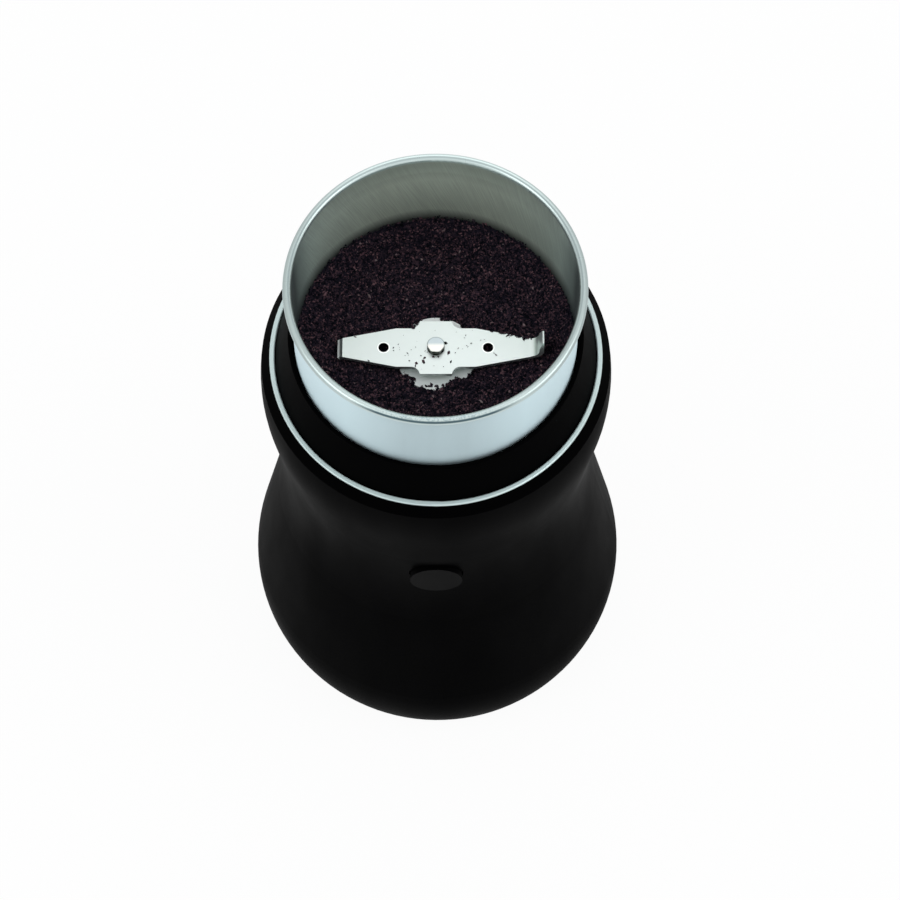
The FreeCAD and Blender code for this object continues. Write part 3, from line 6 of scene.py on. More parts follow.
import json
import logging
import math
import random
from dataclasses import dataclass
from enum import Enum
from typing import Sequence

import bpy
import numpy as np
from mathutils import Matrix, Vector, noise

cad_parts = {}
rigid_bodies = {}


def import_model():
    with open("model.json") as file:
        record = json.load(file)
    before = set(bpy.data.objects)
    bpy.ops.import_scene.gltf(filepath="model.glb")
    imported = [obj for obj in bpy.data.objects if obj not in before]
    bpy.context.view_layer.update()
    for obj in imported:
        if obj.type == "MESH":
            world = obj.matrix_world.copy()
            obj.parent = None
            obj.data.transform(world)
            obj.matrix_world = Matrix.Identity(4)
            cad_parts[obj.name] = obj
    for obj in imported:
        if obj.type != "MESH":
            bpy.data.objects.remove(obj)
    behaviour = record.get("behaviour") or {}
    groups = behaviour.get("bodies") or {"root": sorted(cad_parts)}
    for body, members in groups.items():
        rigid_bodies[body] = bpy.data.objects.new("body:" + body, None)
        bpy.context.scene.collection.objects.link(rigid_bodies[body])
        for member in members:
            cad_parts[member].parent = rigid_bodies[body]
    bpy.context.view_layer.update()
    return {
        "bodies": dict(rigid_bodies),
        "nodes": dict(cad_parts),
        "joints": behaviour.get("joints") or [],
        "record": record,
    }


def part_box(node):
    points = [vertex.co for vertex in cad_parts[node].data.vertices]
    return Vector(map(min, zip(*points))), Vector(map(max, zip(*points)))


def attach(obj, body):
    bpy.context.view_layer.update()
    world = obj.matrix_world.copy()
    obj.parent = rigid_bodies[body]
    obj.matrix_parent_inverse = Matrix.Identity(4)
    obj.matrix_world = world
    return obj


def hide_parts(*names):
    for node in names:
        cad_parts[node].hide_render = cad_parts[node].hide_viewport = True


LOG = logging.getLogger("spice_grinder")
MM = 0.001
FLANGE_HEIGHT = 5.6 * MM
STRIP_THICK = 1.2 * MM
BLADE_GAP = 2.4 * MM
SWEEP_CLEAR = 1.3 * MM
GRAIN_RAGGED = 0.3
GRAIN_LEAN = 0.45
GRAIN_SPREAD = 0.25
Colour = tuple[float, float, float]


class Slot(Enum):
    """Material slots of the record that the pieces take their finish from."""

    SHELL = "black_shell"
    COLLAR = "black_collar"
    PLASTIC = "black_plastic"
    BUTTON = "button_plastic"
    DECK = "grey_plastic"
    FAN = "fan_plastic"
    SWITCH = "switch_plastic"
    TERMINAL = "pale_plastic"
    SLEEVE = "pale_sleeve"
    CAPACITOR = "capacitor_case"
    COUPLING = "coupling_nylon"
    RUBBER = "black_rubber"
    RING = "ring_metal"
    CUP = "cup_steel"
    BLADE = "blade_steel"
    SPINDLE = "bright_steel"
    BRACKET = "bracket_steel"
    SPRING = "spring_steel"
    SCREW = "zinc_steel"
    LAMINATION = "lamination"
    WIRE = "copper_wire"
    COMMUTATOR = "copper_bar"
    BRONZE = "bronze"
    BRASS = "brass_sheet"
    CARBON = "carbon"
    SPICE = "ground_spice"


def scaled(colour: Colour, factor: float) -> Colour:
    """A colour made darker or paler by one factor."""
    return tuple(value * factor for value in colour)


class NodeSheet:
    """A material's node tree, written one node at a time."""

    def __init__(self, name: str) -> None:
        """Start an empty tree with a Principled shader and an output.

        Args:
            name: Name of the material.
        """
        self.material = bpy.data.materials.new(name)
        self.material.use_nodes = True
        self.tree = self.material.node_tree
        self.tree.nodes.clear()
        self.output = self.tree.nodes.new("ShaderNodeOutputMaterial")
        self.shader = self.tree.nodes.new("ShaderNodeBsdfPrincipled")
        self.link(self.shader.outputs["BSDF"], self.output.inputs["Surface"])

    def link(self, source: bpy.types.NodeSocket, target: bpy.types.NodeSocket) -> None:
        """Join two sockets."""
        self.tree.links.new(source, target)

    def feed(self, name: str, value: bpy.types.NodeSocket) -> None:
        """Lead a value to one of the shader's own sockets."""
        self.link(value, self.shader.inputs[name])

    def paint(self, colour: bpy.types.NodeSocket) -> None:
        """Give the shader its base colour."""
        self.feed("Base Color", colour)

    def constant(self, **values: object) -> None:
        """Set values on the shader's own sockets.

        Args:
            values: Socket names with underscores for spaces, and their values.
        """
        for name, value in values.items():
            socket = self.shader.inputs[name.replace("_", " ")]
            if isinstance(value, tuple):
                value = (*value, 1.0)[:4]
            socket.default_value = value

    def place(self) -> bpy.types.NodeSocket:
        """Object coordinates, in metres."""
        return self.tree.nodes.new("ShaderNodeTexCoord").outputs["Object"]

    def stretched(self, factors: Sequence[float]) -> bpy.types.NodeSocket:
        """Object coordinates scaled along each axis.

        Args:
            factors: Scale along X, Y and Z.

        Returns:
            The scaled coordinates.
        """
        mapping = self.tree.nodes.new("ShaderNodeMapping")
        mapping.inputs["Scale"].default_value = factors
        self.link(self.place(), mapping.inputs["Vector"])
        return mapping.outputs["Vector"]

    def math(self, operation: str, *values: object) -> bpy.types.NodeSocket:
        """One arithmetic step.

        Args:
            operation: Name of the Math node's operation.
            values: Sockets or numbers, in order.

        Returns:
            The result.
        """
        step = self.tree.nodes.new("ShaderNodeMath")
        step.operation = operation
        for index, value in enumerate(values):
            if isinstance(value, bpy.types.NodeSocket):
                self.link(value, step.inputs[index])
            else:
                step.inputs[index].default_value = value
        return step.outputs[0]

    def axes(self) -> tuple[bpy.types.NodeSocket, ...]:
        """X, Y and Z of the Object coordinates."""
        split = self.tree.nodes.new("ShaderNodeSeparateXYZ")
        self.link(self.place(), split.inputs[0])
        return tuple(split.outputs)

    def radius(self) -> bpy.types.NodeSocket:
        """Distance from the middle axis."""
        x, y, _ = self.axes()
        return self.length(x, y)

    def length(self, x: bpy.types.NodeSocket, y: bpy.types.NodeSocket) -> bpy.types.NodeSocket:
        """Length of a flat vector."""
        squares = self.math("ADD", self.math("MULTIPLY", x, x), self.math("MULTIPLY", y, y))
        return self.math("SQRT", squares)

    def sideways(self, reach: object) -> bpy.types.NodeSocket:
        """Distance to the left or right of the middle, as a share of a reach."""
        x, _, _ = self.axes()
        return self.math("ABSOLUTE", self.math("DIVIDE", x, reach))

    def off(self, value: bpy.types.NodeSocket, middle: float) -> bpy.types.NodeSocket:
        """How far a value is from a middle one."""
        return self.math("ABSOLUTE", self.math("SUBTRACT", value, middle))

    def wrapped(self, around: float, upwards: float, twist: float = 0.0) -> bpy.types.NodeSocket:
        """Coordinates wrapped round the middle axis.

        Args:
            around: Scale of the angle.
            upwards: Scale of the height.
            twist: Lean of the pattern, in radians round the axis for each metre of height.

        Returns:
            A vector of the direction round the axis and the height.
        """
        x, y, z = self.axes()
        angle = self.math("SUBTRACT", self.math("ARCTAN2", y, x), self.math("MULTIPLY", z, twist))
        join = self.tree.nodes.new("ShaderNodeCombineXYZ")
        self.link(self.math("MULTIPLY", self.math("COSINE", angle), around), join.inputs[0])
        self.link(self.math("MULTIPLY", self.math("SINE", angle), around), join.inputs[1])
        self.link(self.math("MULTIPLY", z, upwards), join.inputs[2])
        return join.outputs[0]

    def noise(self, where: bpy.types.NodeSocket, scale: float, detail: float = 2.0) -> bpy.types.NodeSocket:
        """Smooth noise.

        Args:
            where: Coordinates.
            scale: Waves per unit of the coordinates.
            detail: Octaves.

        Returns:
            The noise, from 0 to 1.
        """
        texture = self.tree.nodes.new("ShaderNodeTexNoise")
        texture.inputs["Scale"].default_value = scale
        texture.inputs["Detail"].default_value = detail
        self.link(where, texture.inputs["Vector"])
        return texture.outputs["Fac"]

    def turned_lines(self) -> bpy.types.NodeSocket:
        """Fine level lines round the middle axis, as turning leaves them."""
        return self.noise(self.wrapped(1.0, 3500.0), 1.0, 4.0)

    def bands(self, scale: float, distortion: float) -> bpy.types.NodeSocket:
        """Level bands stacked along the height.

        Args:
            scale: How close the bands lie.
            distortion: How far they waver.

        Returns:
            The bands, from 0 to 1.
        """
        wave = self.tree.nodes.new("ShaderNodeTexWave")
        wave.inputs["Scale"].default_value = scale
        wave.inputs["Distortion"].default_value = distortion
        wave.bands_direction = "Z"
        self.link(self.place(), wave.inputs["Vector"])
        return wave.outputs["Fac"]

    def ramp(self, value: bpy.types.NodeSocket,
             stops: Sequence[tuple[float, Colour]]) -> bpy.types.NodeSocket:
        """Colours along a value.

        Args:
            value: The value that is looked up.
            stops: Places and colours, in order.

        Returns:
            The colour.
        """
        ramp = self.tree.nodes.new("ShaderNodeValToRGB")
        elements = ramp.color_ramp.elements
        while len(elements) < len(stops):
            elements.new(0.5)
        for element, (place, colour) in zip(elements, stops):
            element.position = place
            element.color = (*colour, 1.0)
        self.link(value, ramp.inputs["Fac"])
        return ramp.outputs["Color"]

    def span(self, value: bpy.types.NodeSocket, low: float, high: float,
             to_low: float = 0.0, to_high: float = 1.0) -> bpy.types.NodeSocket:
        """A clamped change of range.

        Args:
            value: The value.
            low: Value that gives to_low.
            high: Value that gives to_high.
            to_low: Result at the low end.
            to_high: Result at the high end.

        Returns:
            The mapped value.
        """
        change = self.tree.nodes.new("ShaderNodeMapRange")
        for name, number in zip(("From Min", "From Max", "To Min", "To Max"), (low, high, to_low, to_high)):
            change.inputs[name].default_value = number
        self.link(value, change.inputs["Value"])
        return change.outputs["Result"]

    def mix(self, share: bpy.types.NodeSocket, first: object, second: object) -> bpy.types.NodeSocket:
        """A blend of two colours.

        Args:
            share: Share of the second colour.
            first: Colour or socket.
            second: Colour or socket.

        Returns:
            The blended colour.
        """
        blend = self.tree.nodes.new("ShaderNodeMix")
        blend.data_type = "RGBA"
        self.link(share, blend.inputs["Factor"])
        colours = [socket for socket in blend.inputs if socket.type == "RGBA"]
        for socket, value in zip(colours, (first, second)):
            if isinstance(value, bpy.types.NodeSocket):
                self.link(value, socket)
            else:
                socket.default_value = (*value, 1.0)
        return next(socket for socket in blend.outputs if socket.type == "RGBA")

    def bump(self, height: bpy.types.NodeSocket, depth: float) -> None:
        """Raise the surface's detail.

        Args:
            height: Height from 0 to 1.
            depth: Depth of the detail in metres.
        """
        bump = self.tree.nodes.new("ShaderNodeBump")
        bump.inputs["Distance"].default_value = depth
        self.link(height, bump.inputs["Height"])
        self.link(bump.outputs["Normal"], self.shader.inputs["Normal"])


@dataclass(frozen=True)
class SatinPlastic:
    """Moulded plastic with a fine spark-eroded grain and faint handling marks."""

    name: str
    colour: Colour
    gloss: float = 0.42
    grain: float = 0.00035
    depth: float = 0.00002
    shine: float = 0.5

    def build(self) -> bpy.types.Material:
        """Write the material."""
        sheet = NodeSheet(self.name)
        sheet.constant(Base_Color=self.colour, Specular_IOR_Level=self.shine)
        fine = sheet.noise(sheet.place(), 1.0 / self.grain, 2.0)
        marks = sheet.noise(sheet.stretched((1.0, 1.0, 0.4)), 60.0, 4.0)
        rough = sheet.span(marks, 0.3, 0.7, self.gloss - 0.05, self.gloss + 0.07)
        sheet.feed("Roughness", rough)
        sheet.bump(fine, self.depth)
        return sheet.material


@dataclass(frozen=True)
class Rubber:
    """Soft dull rubber."""

    name: str
    colour: Colour = (0.006, 0.006, 0.006)

    def build(self) -> bpy.types.Material:
        """Write the material."""
        sheet = NodeSheet(self.name)
        dust = sheet.noise(sheet.place(), 220.0, 5.0)
        sheet.paint(sheet.mix(sheet.span(dust, 0.45, 0.8), self.colour, scaled(self.colour, 2.2)))
        sheet.constant(Roughness=0.75, Specular_IOR_Level=0.3)
        sheet.bump(sheet.noise(sheet.place(), 1500.0, 3.0), 0.00003)
        return sheet.material


@dataclass(frozen=True)
class BrushedMetal:
    """Metal with fine lines round the axis."""

    name: str
    colour: Colour
    rough: float = 0.32
    depth: float = 0.000004

    def build(self) -> bpy.types.Material:
        """Write the material."""
        sheet = NodeSheet(self.name)
        lines = sheet.turned_lines()
        sheet.paint(sheet.mix(sheet.span(lines, 0.3, 0.7), scaled(self.colour, 0.86), self.colour))
        rough = sheet.span(lines, 0.25, 0.75, self.rough - 0.06, self.rough + 0.08)
        sheet.feed("Roughness", rough)
        sheet.constant(Metallic=1.0)
        sheet.bump(lines, self.depth)
        return sheet.material


@dataclass(frozen=True)
class StampedMetal:
    """Rolled or turned metal with fine mottling, for brackets, springs, screws and bushes."""

    name: str
    colour: Colour
    rough: float = 0.35
    mottle: float = 0.1
    grain: float = 0.0004
    depth: float = 0.000008

    def build(self) -> bpy.types.Material:
        """Write the material."""
        sheet = NodeSheet(self.name)
        cloud = sheet.noise(sheet.place(), 180.0, 5.0)
        dark = scaled(self.colour, 1.0 - self.mottle)
        sheet.paint(sheet.mix(sheet.span(cloud, 0.3, 0.7), dark, self.colour))
        sheet.constant(Metallic=1.0)
        rough = sheet.span(cloud, 0.3, 0.7, self.rough - 0.04, self.rough + 0.08)
        sheet.feed("Roughness", rough)
        sheet.bump(sheet.noise(sheet.place(), 1.0 / self.grain, 2.0), self.depth)
        return sheet.material


@dataclass(frozen=True)
class CupSteel:
    """Drawn steel of the cup: satin with leaning lines inside, smooth outside, burnished on the bead."""

    name: str
    inside: Colour = (0.61, 0.74, 0.69)
    # painted light: a paler copy of the inner steel for the back half of the inner wall
    inside_back_painted_light: Colour = (0.87, 0.96, 0.83)
    outside: Colour = (0.51, 0.64, 0.675)
    bead: Colour = (0.58, 0.68, 0.67)
    # painted shade: near-black colour low on the inner wall where it meets the grounds
    boss: Colour = (0.97, 1.00, 1.00)
    painted_contact_shade: Colour = (0.010, 0.012, 0.016)
    # painted reflection: dark lines round the bead's shoulders
    painted_reflection: Colour = (0.045, 0.090, 0.110)
    bead_shade: Colour = (0.10, 0.13, 0.12)
    flank_shade: Colour = (0.030, 0.036, 0.046)
    grain_shade: Colour = (0.24, 0.34, 0.38)
    wall_middle: float = 0.0365
    wall_edge: float = 0.0001
    spread: float = 0.0003
    spread_height: float = 0.0050
    bead_radius: float = 0.0376
    bead_level: float = 0.1762
    boss_radius: float = 0.0125
    contact_shade_low: float = 0.1470
    contact_shade_high: float = 0.1520
    contact_shade_side_rise: float = 0.0045
    shade_low: float = 0.1675
    shade_high: float = 0.1745
    outer_reflection_line: float = 0.74
    inner_reflection_line: float = 1.85

    @staticmethod
    def drawn_lines(sheet: NodeSheet) -> bpy.types.NodeSocket:
        """Fine leaning lines left by drawing the cup."""
        return sheet.noise(sheet.wrapped(190.0, 95.0, 9.0), 1.0, 3.0)

    def clean_inside(self, sheet: NodeSheet, back: bpy.types.NodeSocket) -> bpy.types.NodeSocket:
        """Colour of the inner face before the painted shade, with painted light making it paler at the
        back.
        """
        cloud = sheet.noise(sheet.wrapped(3.0, 55.0), 1.0, 2.0)
        share = sheet.math("ADD", sheet.math("MULTIPLY", self.drawn_lines(sheet), 0.75),
                           sheet.math("MULTIPLY", cloud, 0.25))
        # painted light: the inner wall is made paler towards the back
        clear = sheet.mix(back, self.inside, self.inside_back_painted_light)
        dull = sheet.mix(back, scaled(self.inside, 0.80), scaled(self.inside_back_painted_light, 0.80))
        return sheet.mix(sheet.span(share, 0.36, 0.62), dull, clear)

    def wall(self, sheet: NodeSheet, outward: bpy.types.NodeSocket) -> bpy.types.NodeSocket:
        """Colour of the wall: painted shade low down on its inner face above the grounds, high up at its
        back and on its sides, and painted light towards the outer face's sides.
        """
        _, y, height = sheet.axes()
        sideways = sheet.sideways(sheet.radius())
        back = sheet.span(y, 0.012, 0.034)
        # painted shade low on the inner wall above the grounds, rising towards the sides
        rise = sheet.math("MULTIPLY", sheet.math("POWER", sideways, 4.0), self.contact_shade_side_rise)
        contact_shade_top = sheet.math("ADD", rise, self.contact_shade_high)
        painted_contact_shade = sheet.math("DIVIDE", sheet.math("SUBTRACT", contact_shade_top, height),
                          sheet.math("SUBTRACT", contact_shade_top, self.contact_shade_low))
        contact_shaded = sheet.mix(sheet.span(painted_contact_shade, 0.0, 1.0, 0.0, 0.92), self.clean_inside(sheet, back), self.painted_contact_shade)
        # painted shade: darker high on the inner wall at the back, under the bead
        high_up = sheet.span(height, self.shade_low, self.shade_high, 0.0, 0.42)
        topped = sheet.mix(sheet.math("MULTIPLY", high_up, back), contact_shaded, self.bead_shade)
        # painted shade: darker on the inner wall's left and right sides
        flank = sheet.math("MULTIPLY", sheet.span(y, 0.0165, 0.0045, 0.0, 0.86),
                           sheet.span(y, -0.012, -0.004))
        inner = sheet.mix(flank, topped, self.flank_shade)
        broad = sheet.noise(sheet.wrapped(9.0, 45.0), 1.0, 3.0)
        plain = sheet.mix(sheet.span(broad, 0.35, 0.65), scaled(self.outside, 0.97), self.outside)
        # painted light: the outer wall is made paler towards its left and right sides
        outer = sheet.mix(sheet.span(sideways, 0.22, 0.62), plain, scaled(self.outside, 1.28))
        return sheet.mix(outward, inner, outer)

    def rim(self, sheet: NodeSheet) -> bpy.types.NodeSocket:
        """Colour of the bead: painted dark reflection lines round its shoulders, strongest at the front,
        painted shade towards its sides, and a worn, grainy front.
        """
        _, y, height = sheet.axes()
        around = sheet.math("ARCTAN2", sheet.math("SUBTRACT", height, self.bead_level),
                            sheet.math("SUBTRACT", sheet.radius(), self.bead_radius))
        # painted reflection: dark line round the bead's outer shoulder, strongest at the front, and a
        # fainter one round its inner shoulder
        painted_reflection = sheet.span(sheet.off(around, self.outer_reflection_line), 0.42, 0.16)
        front = sheet.span(y, -0.0320, -0.0355, 0.12, 0.95)
        inner_line = sheet.span(sheet.off(around, self.inner_reflection_line), 0.32, 0.12, 0.0, 0.30)
        # painted shade: the bead is darker towards its left and right sides
        sideways = sheet.span(sheet.sideways(self.bead_radius), 0.45, 0.90)
        metal = sheet.mix(sideways, self.bead, scaled(self.bead, 0.74))
        lined = sheet.mix(inner_line, metal, self.painted_reflection)
        grain = sheet.span(sheet.noise(sheet.place(), 2300.0, 1.0), 0.47, 0.60)
        crown = sheet.math("MULTIPLY", sheet.span(around, 0.9, 1.1),
                           sheet.span(y, -0.0335, -0.0368, 0.0, 0.55))
        worn = sheet.mix(sheet.math("MULTIPLY", grain, crown), lined, self.grain_shade)
        return sheet.mix(sheet.math("MULTIPLY", painted_reflection, front), worn, self.painted_reflection)

    def build(self) -> bpy.types.Material:
        """Write the material."""
        sheet = NodeSheet(self.name)
        _, _, height = sheet.axes()
        radius = sheet.radius()
        spread = sheet.span(height, self.bead_level - self.spread_height, self.bead_level, 0.0, self.spread)
        outward = sheet.span(sheet.math("SUBTRACT", radius, spread), self.wall_middle - self.wall_edge,
                             self.wall_middle + self.wall_edge)
        on_bead = sheet.span(height, self.bead_level - 0.0005, self.bead_level + 0.0003)
        on_boss = sheet.span(radius, self.boss_radius + 0.0002, self.boss_radius - 0.0002)
        trimmed = sheet.mix(on_bead, self.wall(sheet, outward), self.rim(sheet))
        sheet.paint(sheet.mix(on_boss, trimmed, self.boss))
        lines = self.drawn_lines(sheet)
        burnished = sheet.math("MULTIPLY", sheet.math("MAXIMUM", on_bead, on_boss), -0.16)
        rough = sheet.math("ADD", sheet.span(lines, 0.25, 0.75, 0.42, 0.54), burnished)
        sheet.feed("Roughness", rough)
        metal = sheet.span(outward, 0.0, 1.0, 0.72, 0.30)
        trimmed_metal = sheet.math("MAXIMUM", metal, sheet.math("MULTIPLY", on_bead, 0.85))
        off_boss = sheet.math("SUBTRACT", 1.0, on_boss)
        sheet.feed("Metallic", sheet.math("MULTIPLY", trimmed_metal, off_boss))
        sheet.bump(sheet.math("MULTIPLY", lines, sheet.math("SUBTRACT", 1.0, outward)), 0.000012)
        return sheet.material


@dataclass(frozen=True)
class BladeSteel:
    """Satin sheet steel of the blade, with painted shade in its holes, a painted highlight round them,
    painted light on the bent tip, and painted shade towards the left.
    """

    name: str
    colour: Colour = (0.745, 0.815, 0.800)
    hole_place: float = 0.01365
    hole_radius: float = 0.0013
    hole_highlight_start: float = 0.00030
    hole_highlight_end: float = 0.00045
    wall_start: float = 0.00003
    wall_end: float = 0.00006
    tip_start: float = -0.0250
    tip_edge: float = 0.0003
    hole_highlight: Colour = (0.96, 1.0, 0.98)
    tip: Colour = (1.0, 1.0, 1.0)
    hole: Colour = (0.012, 0.012, 0.014)

    def build(self) -> bpy.types.Material:
        """Write the material."""
        sheet = NodeSheet(self.name)
        x, y, _ = sheet.axes()
        cloud = sheet.noise(sheet.place(), 180.0, 5.0)
        # painted shade: the blade is darker towards its left arm, with random mottling on top
        share = sheet.math("ADD", sheet.span(x, -0.022, 0.004, 0.0, 0.8),
                           sheet.span(cloud, 0.3, 0.7, -0.2, 0.2))
        plain = sheet.mix(share, scaled(self.colour, 0.90), self.colour)
        across = sheet.math("SUBTRACT", sheet.math("ABSOLUTE", x), self.hole_place)
        reach = sheet.length(across, y)
        # painted highlight: a pale ring round each hole
        hole_highlight = sheet.span(reach, self.hole_radius + self.hole_highlight_end, self.hole_radius + self.hole_highlight_start)
        ringed = sheet.mix(hole_highlight, plain, self.hole_highlight)
        # painted shade: the wall of each hole is near black
        wall = sheet.span(reach, self.hole_radius + self.wall_end, self.hole_radius + self.wall_start)
        holed = sheet.mix(wall, ringed, self.hole)
        # painted light: the bent left tip is white and not metallic
        tip = sheet.span(x, self.tip_start, self.tip_start - self.tip_edge)
        sheet.paint(sheet.mix(tip, holed, self.tip))
        sheet.feed("Metallic", sheet.span(tip, 0.0, 1.0, 0.88, 0.0))
        sheet.feed("Roughness", sheet.span(cloud, 0.3, 0.7, 0.30, 0.38))
        sheet.bump(sheet.noise(sheet.place(), 2500.0, 2.0), 0.000006)
        return sheet.material


@dataclass(frozen=True)
class SpindleSteel:
    """Turned steel of the spindle: painted shade round the peened head's side, and a painted reflection on
    its top, bright at the front and grey at the back.
    """

    name: str
    side_low: float = 0.1416
    side_high: float = 0.1444
    side_edge: float = 0.0001
    top_start: float = 0.00025
    top_end: float = 0.00012
    top_back_reflection: Colour = (0.55, 0.63, 0.66)
    top_front_reflection: Colour = (0.93, 0.93, 0.88)
    side: Colour = (0.030, 0.036, 0.026)

    def build(self) -> bpy.types.Material:
        """Write the material."""
        sheet = NodeSheet(self.name)
        _, y, height = sheet.axes()
        # painted reflection: the head's top is grey at the back and bright at the front
        face = sheet.mix(sheet.span(y, 0.0005, -0.0004), self.top_back_reflection, self.top_front_reflection)
        # painted shade: the side of the peened head is near black
        on_side = sheet.span(height, self.side_low, self.side_low + self.side_edge)
        under_top = sheet.span(height, self.side_high - self.top_end, self.side_high - self.top_start)
        dark = sheet.math("MULTIPLY", on_side, under_top)
        sheet.paint(sheet.mix(dark, face, self.side))
        sheet.constant(Metallic=0.85, Roughness=0.30)
        sheet.bump(sheet.noise(sheet.place(), 2500.0, 2.0), 0.000004)
        return sheet.material


@dataclass(frozen=True)
class RingSteel:
    """Bright ring, faintly lined round its side."""

    name: str
    colour: Colour = (0.66, 0.79, 0.78)

    def build(self) -> bpy.types.Material:
        """Write the material."""
        sheet = NodeSheet(self.name)
        share = sheet.span(sheet.turned_lines(), 0.3, 0.7)
        sheet.paint(sheet.mix(share, scaled(self.colour, 0.90), self.colour))
        sheet.constant(Metallic=0.28, Roughness=0.34)
        return sheet.material


@dataclass(frozen=True)
class SpiceFinish:
    """Dark grounds: most grains near black, some red-brown, a few pale."""

    name: str
    by_grain: bool

    def build(self) -> bpy.types.Material:
        """Write the material."""
        sheet = NodeSheet(self.name)
        if self.by_grain:
            tone = sheet.tree.nodes.new("ShaderNodeAttribute")
            tone.attribute_name = "grain_tone"
            value = tone.outputs["Fac"]
        else:
            value = sheet.math("MULTIPLY", sheet.noise(sheet.place(), 1400.0, 3.0), 0.7)
        stops = [
            (0.0, (0.0010, 0.0020, 0.0040)),
            (0.25, (0.0045, 0.0048, 0.0090)),
            (0.50, (0.0150, 0.0118, 0.0205)),
            (0.75, (0.0390, 0.0245, 0.0360)),
            (0.93, (0.0950, 0.0500, 0.0640)),
            (0.99, (0.1700, 0.0900, 0.1050)),
            (1.0, (0.2400, 0.1800, 0.1900)),
        ]
        sheet.paint(sheet.ramp(value, stops))
        sheet.constant(Roughness=0.7, Specular_IOR_Level=0.04)
        sheet.bump(sheet.noise(sheet.place(), 3000.0, 3.0), 0.00005)
        return sheet.material


@dataclass(frozen=True)
class WoundWire:
    """Enamelled wire laid in layers round the axis."""

    name: str
    colour: Colour = (0.42, 0.13, 0.04)

    def build(self) -> bpy.types.Material:
        """Write the material."""
        sheet = NodeSheet(self.name)
        turns = sheet.bands(420.0, 1.5)
        sheet.paint(sheet.mix(turns, scaled(self.colour, 0.4), self.colour))
        sheet.constant(Metallic=0.6, Roughness=0.3, Coat_Weight=0.6)
        sheet.bump(turns, 0.0002)
        return sheet.material


@dataclass(frozen=True)
class Laminations:
    """Stacked varnished steel sheets."""

    name: str
    edge: Colour = (0.10, 0.10, 0.11)
    colour: Colour = (0.24, 0.24, 0.26)
    rust: Colour = (0.16, 0.10, 0.06)

    def build(self) -> bpy.types.Material:
        """Write the material."""
        sheet = NodeSheet(self.name)
        sheets = sheet.bands(300.0, 0.3)
        rusty = sheet.span(sheet.noise(sheet.place(), 120.0, 4.0), 0.55, 0.8)
        sheet.paint(sheet.mix(rusty, sheet.mix(sheets, self.edge, self.colour), self.rust))
        sheet.constant(Metallic=0.8, Roughness=0.45)
        sheet.bump(sheets, 0.0001)
        return sheet.material


FINISHES = {
    Slot.SHELL: SatinPlastic("finish_shell", (0.0006, 0.0006, 0.0007), 0.50, shine=0.006),
    Slot.COLLAR: SatinPlastic("finish_collar", (0.0006, 0.0006, 0.0007), 0.45, shine=0.006),
    Slot.PLASTIC: SatinPlastic("finish_black_plastic", (0.002, 0.002, 0.0022), 0.50, shine=0.05),
    Slot.BUTTON: SatinPlastic("finish_button", (0.0009, 0.0009, 0.001), 0.45, shine=0.014),
    Slot.DECK: SatinPlastic("finish_deck", (0.16, 0.16, 0.17), 0.5),
    Slot.FAN: SatinPlastic("finish_fan", (0.04, 0.04, 0.045), 0.5),
    Slot.SWITCH: SatinPlastic("finish_switch", (0.02, 0.02, 0.02), 0.45),
    Slot.TERMINAL: SatinPlastic("finish_terminal", (0.72, 0.70, 0.64), 0.45),
    Slot.SLEEVE: SatinPlastic("finish_sleeve", (0.74, 0.70, 0.60), 0.8, depth=0.0001),
    Slot.CAPACITOR: SatinPlastic("finish_capacitor", (0.62, 0.40, 0.05), 0.3),
    Slot.COUPLING: SatinPlastic("finish_coupling", (0.62, 0.61, 0.56), 0.42),
    Slot.RUBBER: Rubber("finish_rubber"),
    Slot.RING: RingSteel("finish_ring"),
    Slot.CUP: CupSteel("finish_cup"),
    Slot.BLADE: BladeSteel("finish_blade"),
    Slot.SPINDLE: SpindleSteel("finish_spindle"),
    Slot.BRACKET: StampedMetal("finish_bracket", (0.55, 0.56, 0.55), 0.4),
    Slot.SPRING: StampedMetal("finish_spring", (0.45, 0.45, 0.46), 0.3),
    Slot.SCREW: StampedMetal("finish_screw", (0.50, 0.50, 0.47), 0.32, mottle=0.2),
    Slot.LAMINATION: Laminations("finish_laminations"),
    Slot.WIRE: WoundWire("finish_windings"),
    Slot.COMMUTATOR: BrushedMetal("finish_commutator", (0.62, 0.28, 0.14), 0.25),
    Slot.BRONZE: StampedMetal("finish_bronze", (0.42, 0.27, 0.12), 0.45, mottle=0.2),
    Slot.BRASS: StampedMetal("finish_brass", (0.60, 0.45, 0.18), 0.3),
    Slot.CARBON: SatinPlastic("finish_carbon", (0.015, 0.015, 0.016), 0.6),
    Slot.SPICE: SpiceFinish("finish_spice", by_grain=False),
}


class Paint:
    """Finishes that were already written, by slot."""

    ready: dict[Slot, bpy.types.Material] = {}
    loose: bpy.types.Material | None = None

    @classmethod
    def of(cls, slot: Slot) -> bpy.types.Material:
        """The material of a slot, written once."""
        if slot not in cls.ready:
            cls.ready[slot] = FINISHES[slot].build()
        return cls.ready[slot]

    @classmethod
    def grains(cls) -> bpy.types.Material:
        """The finish of the loose grains, each with its own tone."""
        if cls.loose is None:
            cls.loose = SpiceFinish("finish_grains", by_grain=True).build()
        return cls.loose


def select_none() -> None:
    """Deselect every object and leave edit mode."""
    if bpy.context.object and bpy.context.object.mode != "OBJECT":
        bpy.ops.object.mode_set(mode="OBJECT")
    bpy.ops.object.select_all(action="DESELECT")


def settle(piece: bpy.types.Object) -> None:
    """Apply an object's place, turn and scale to its mesh."""
    select_none()
    piece.select_set(True)
    bpy.context.view_layer.objects.active = piece
    bpy.ops.object.transform_apply(location=True, rotation=True, scale=True)


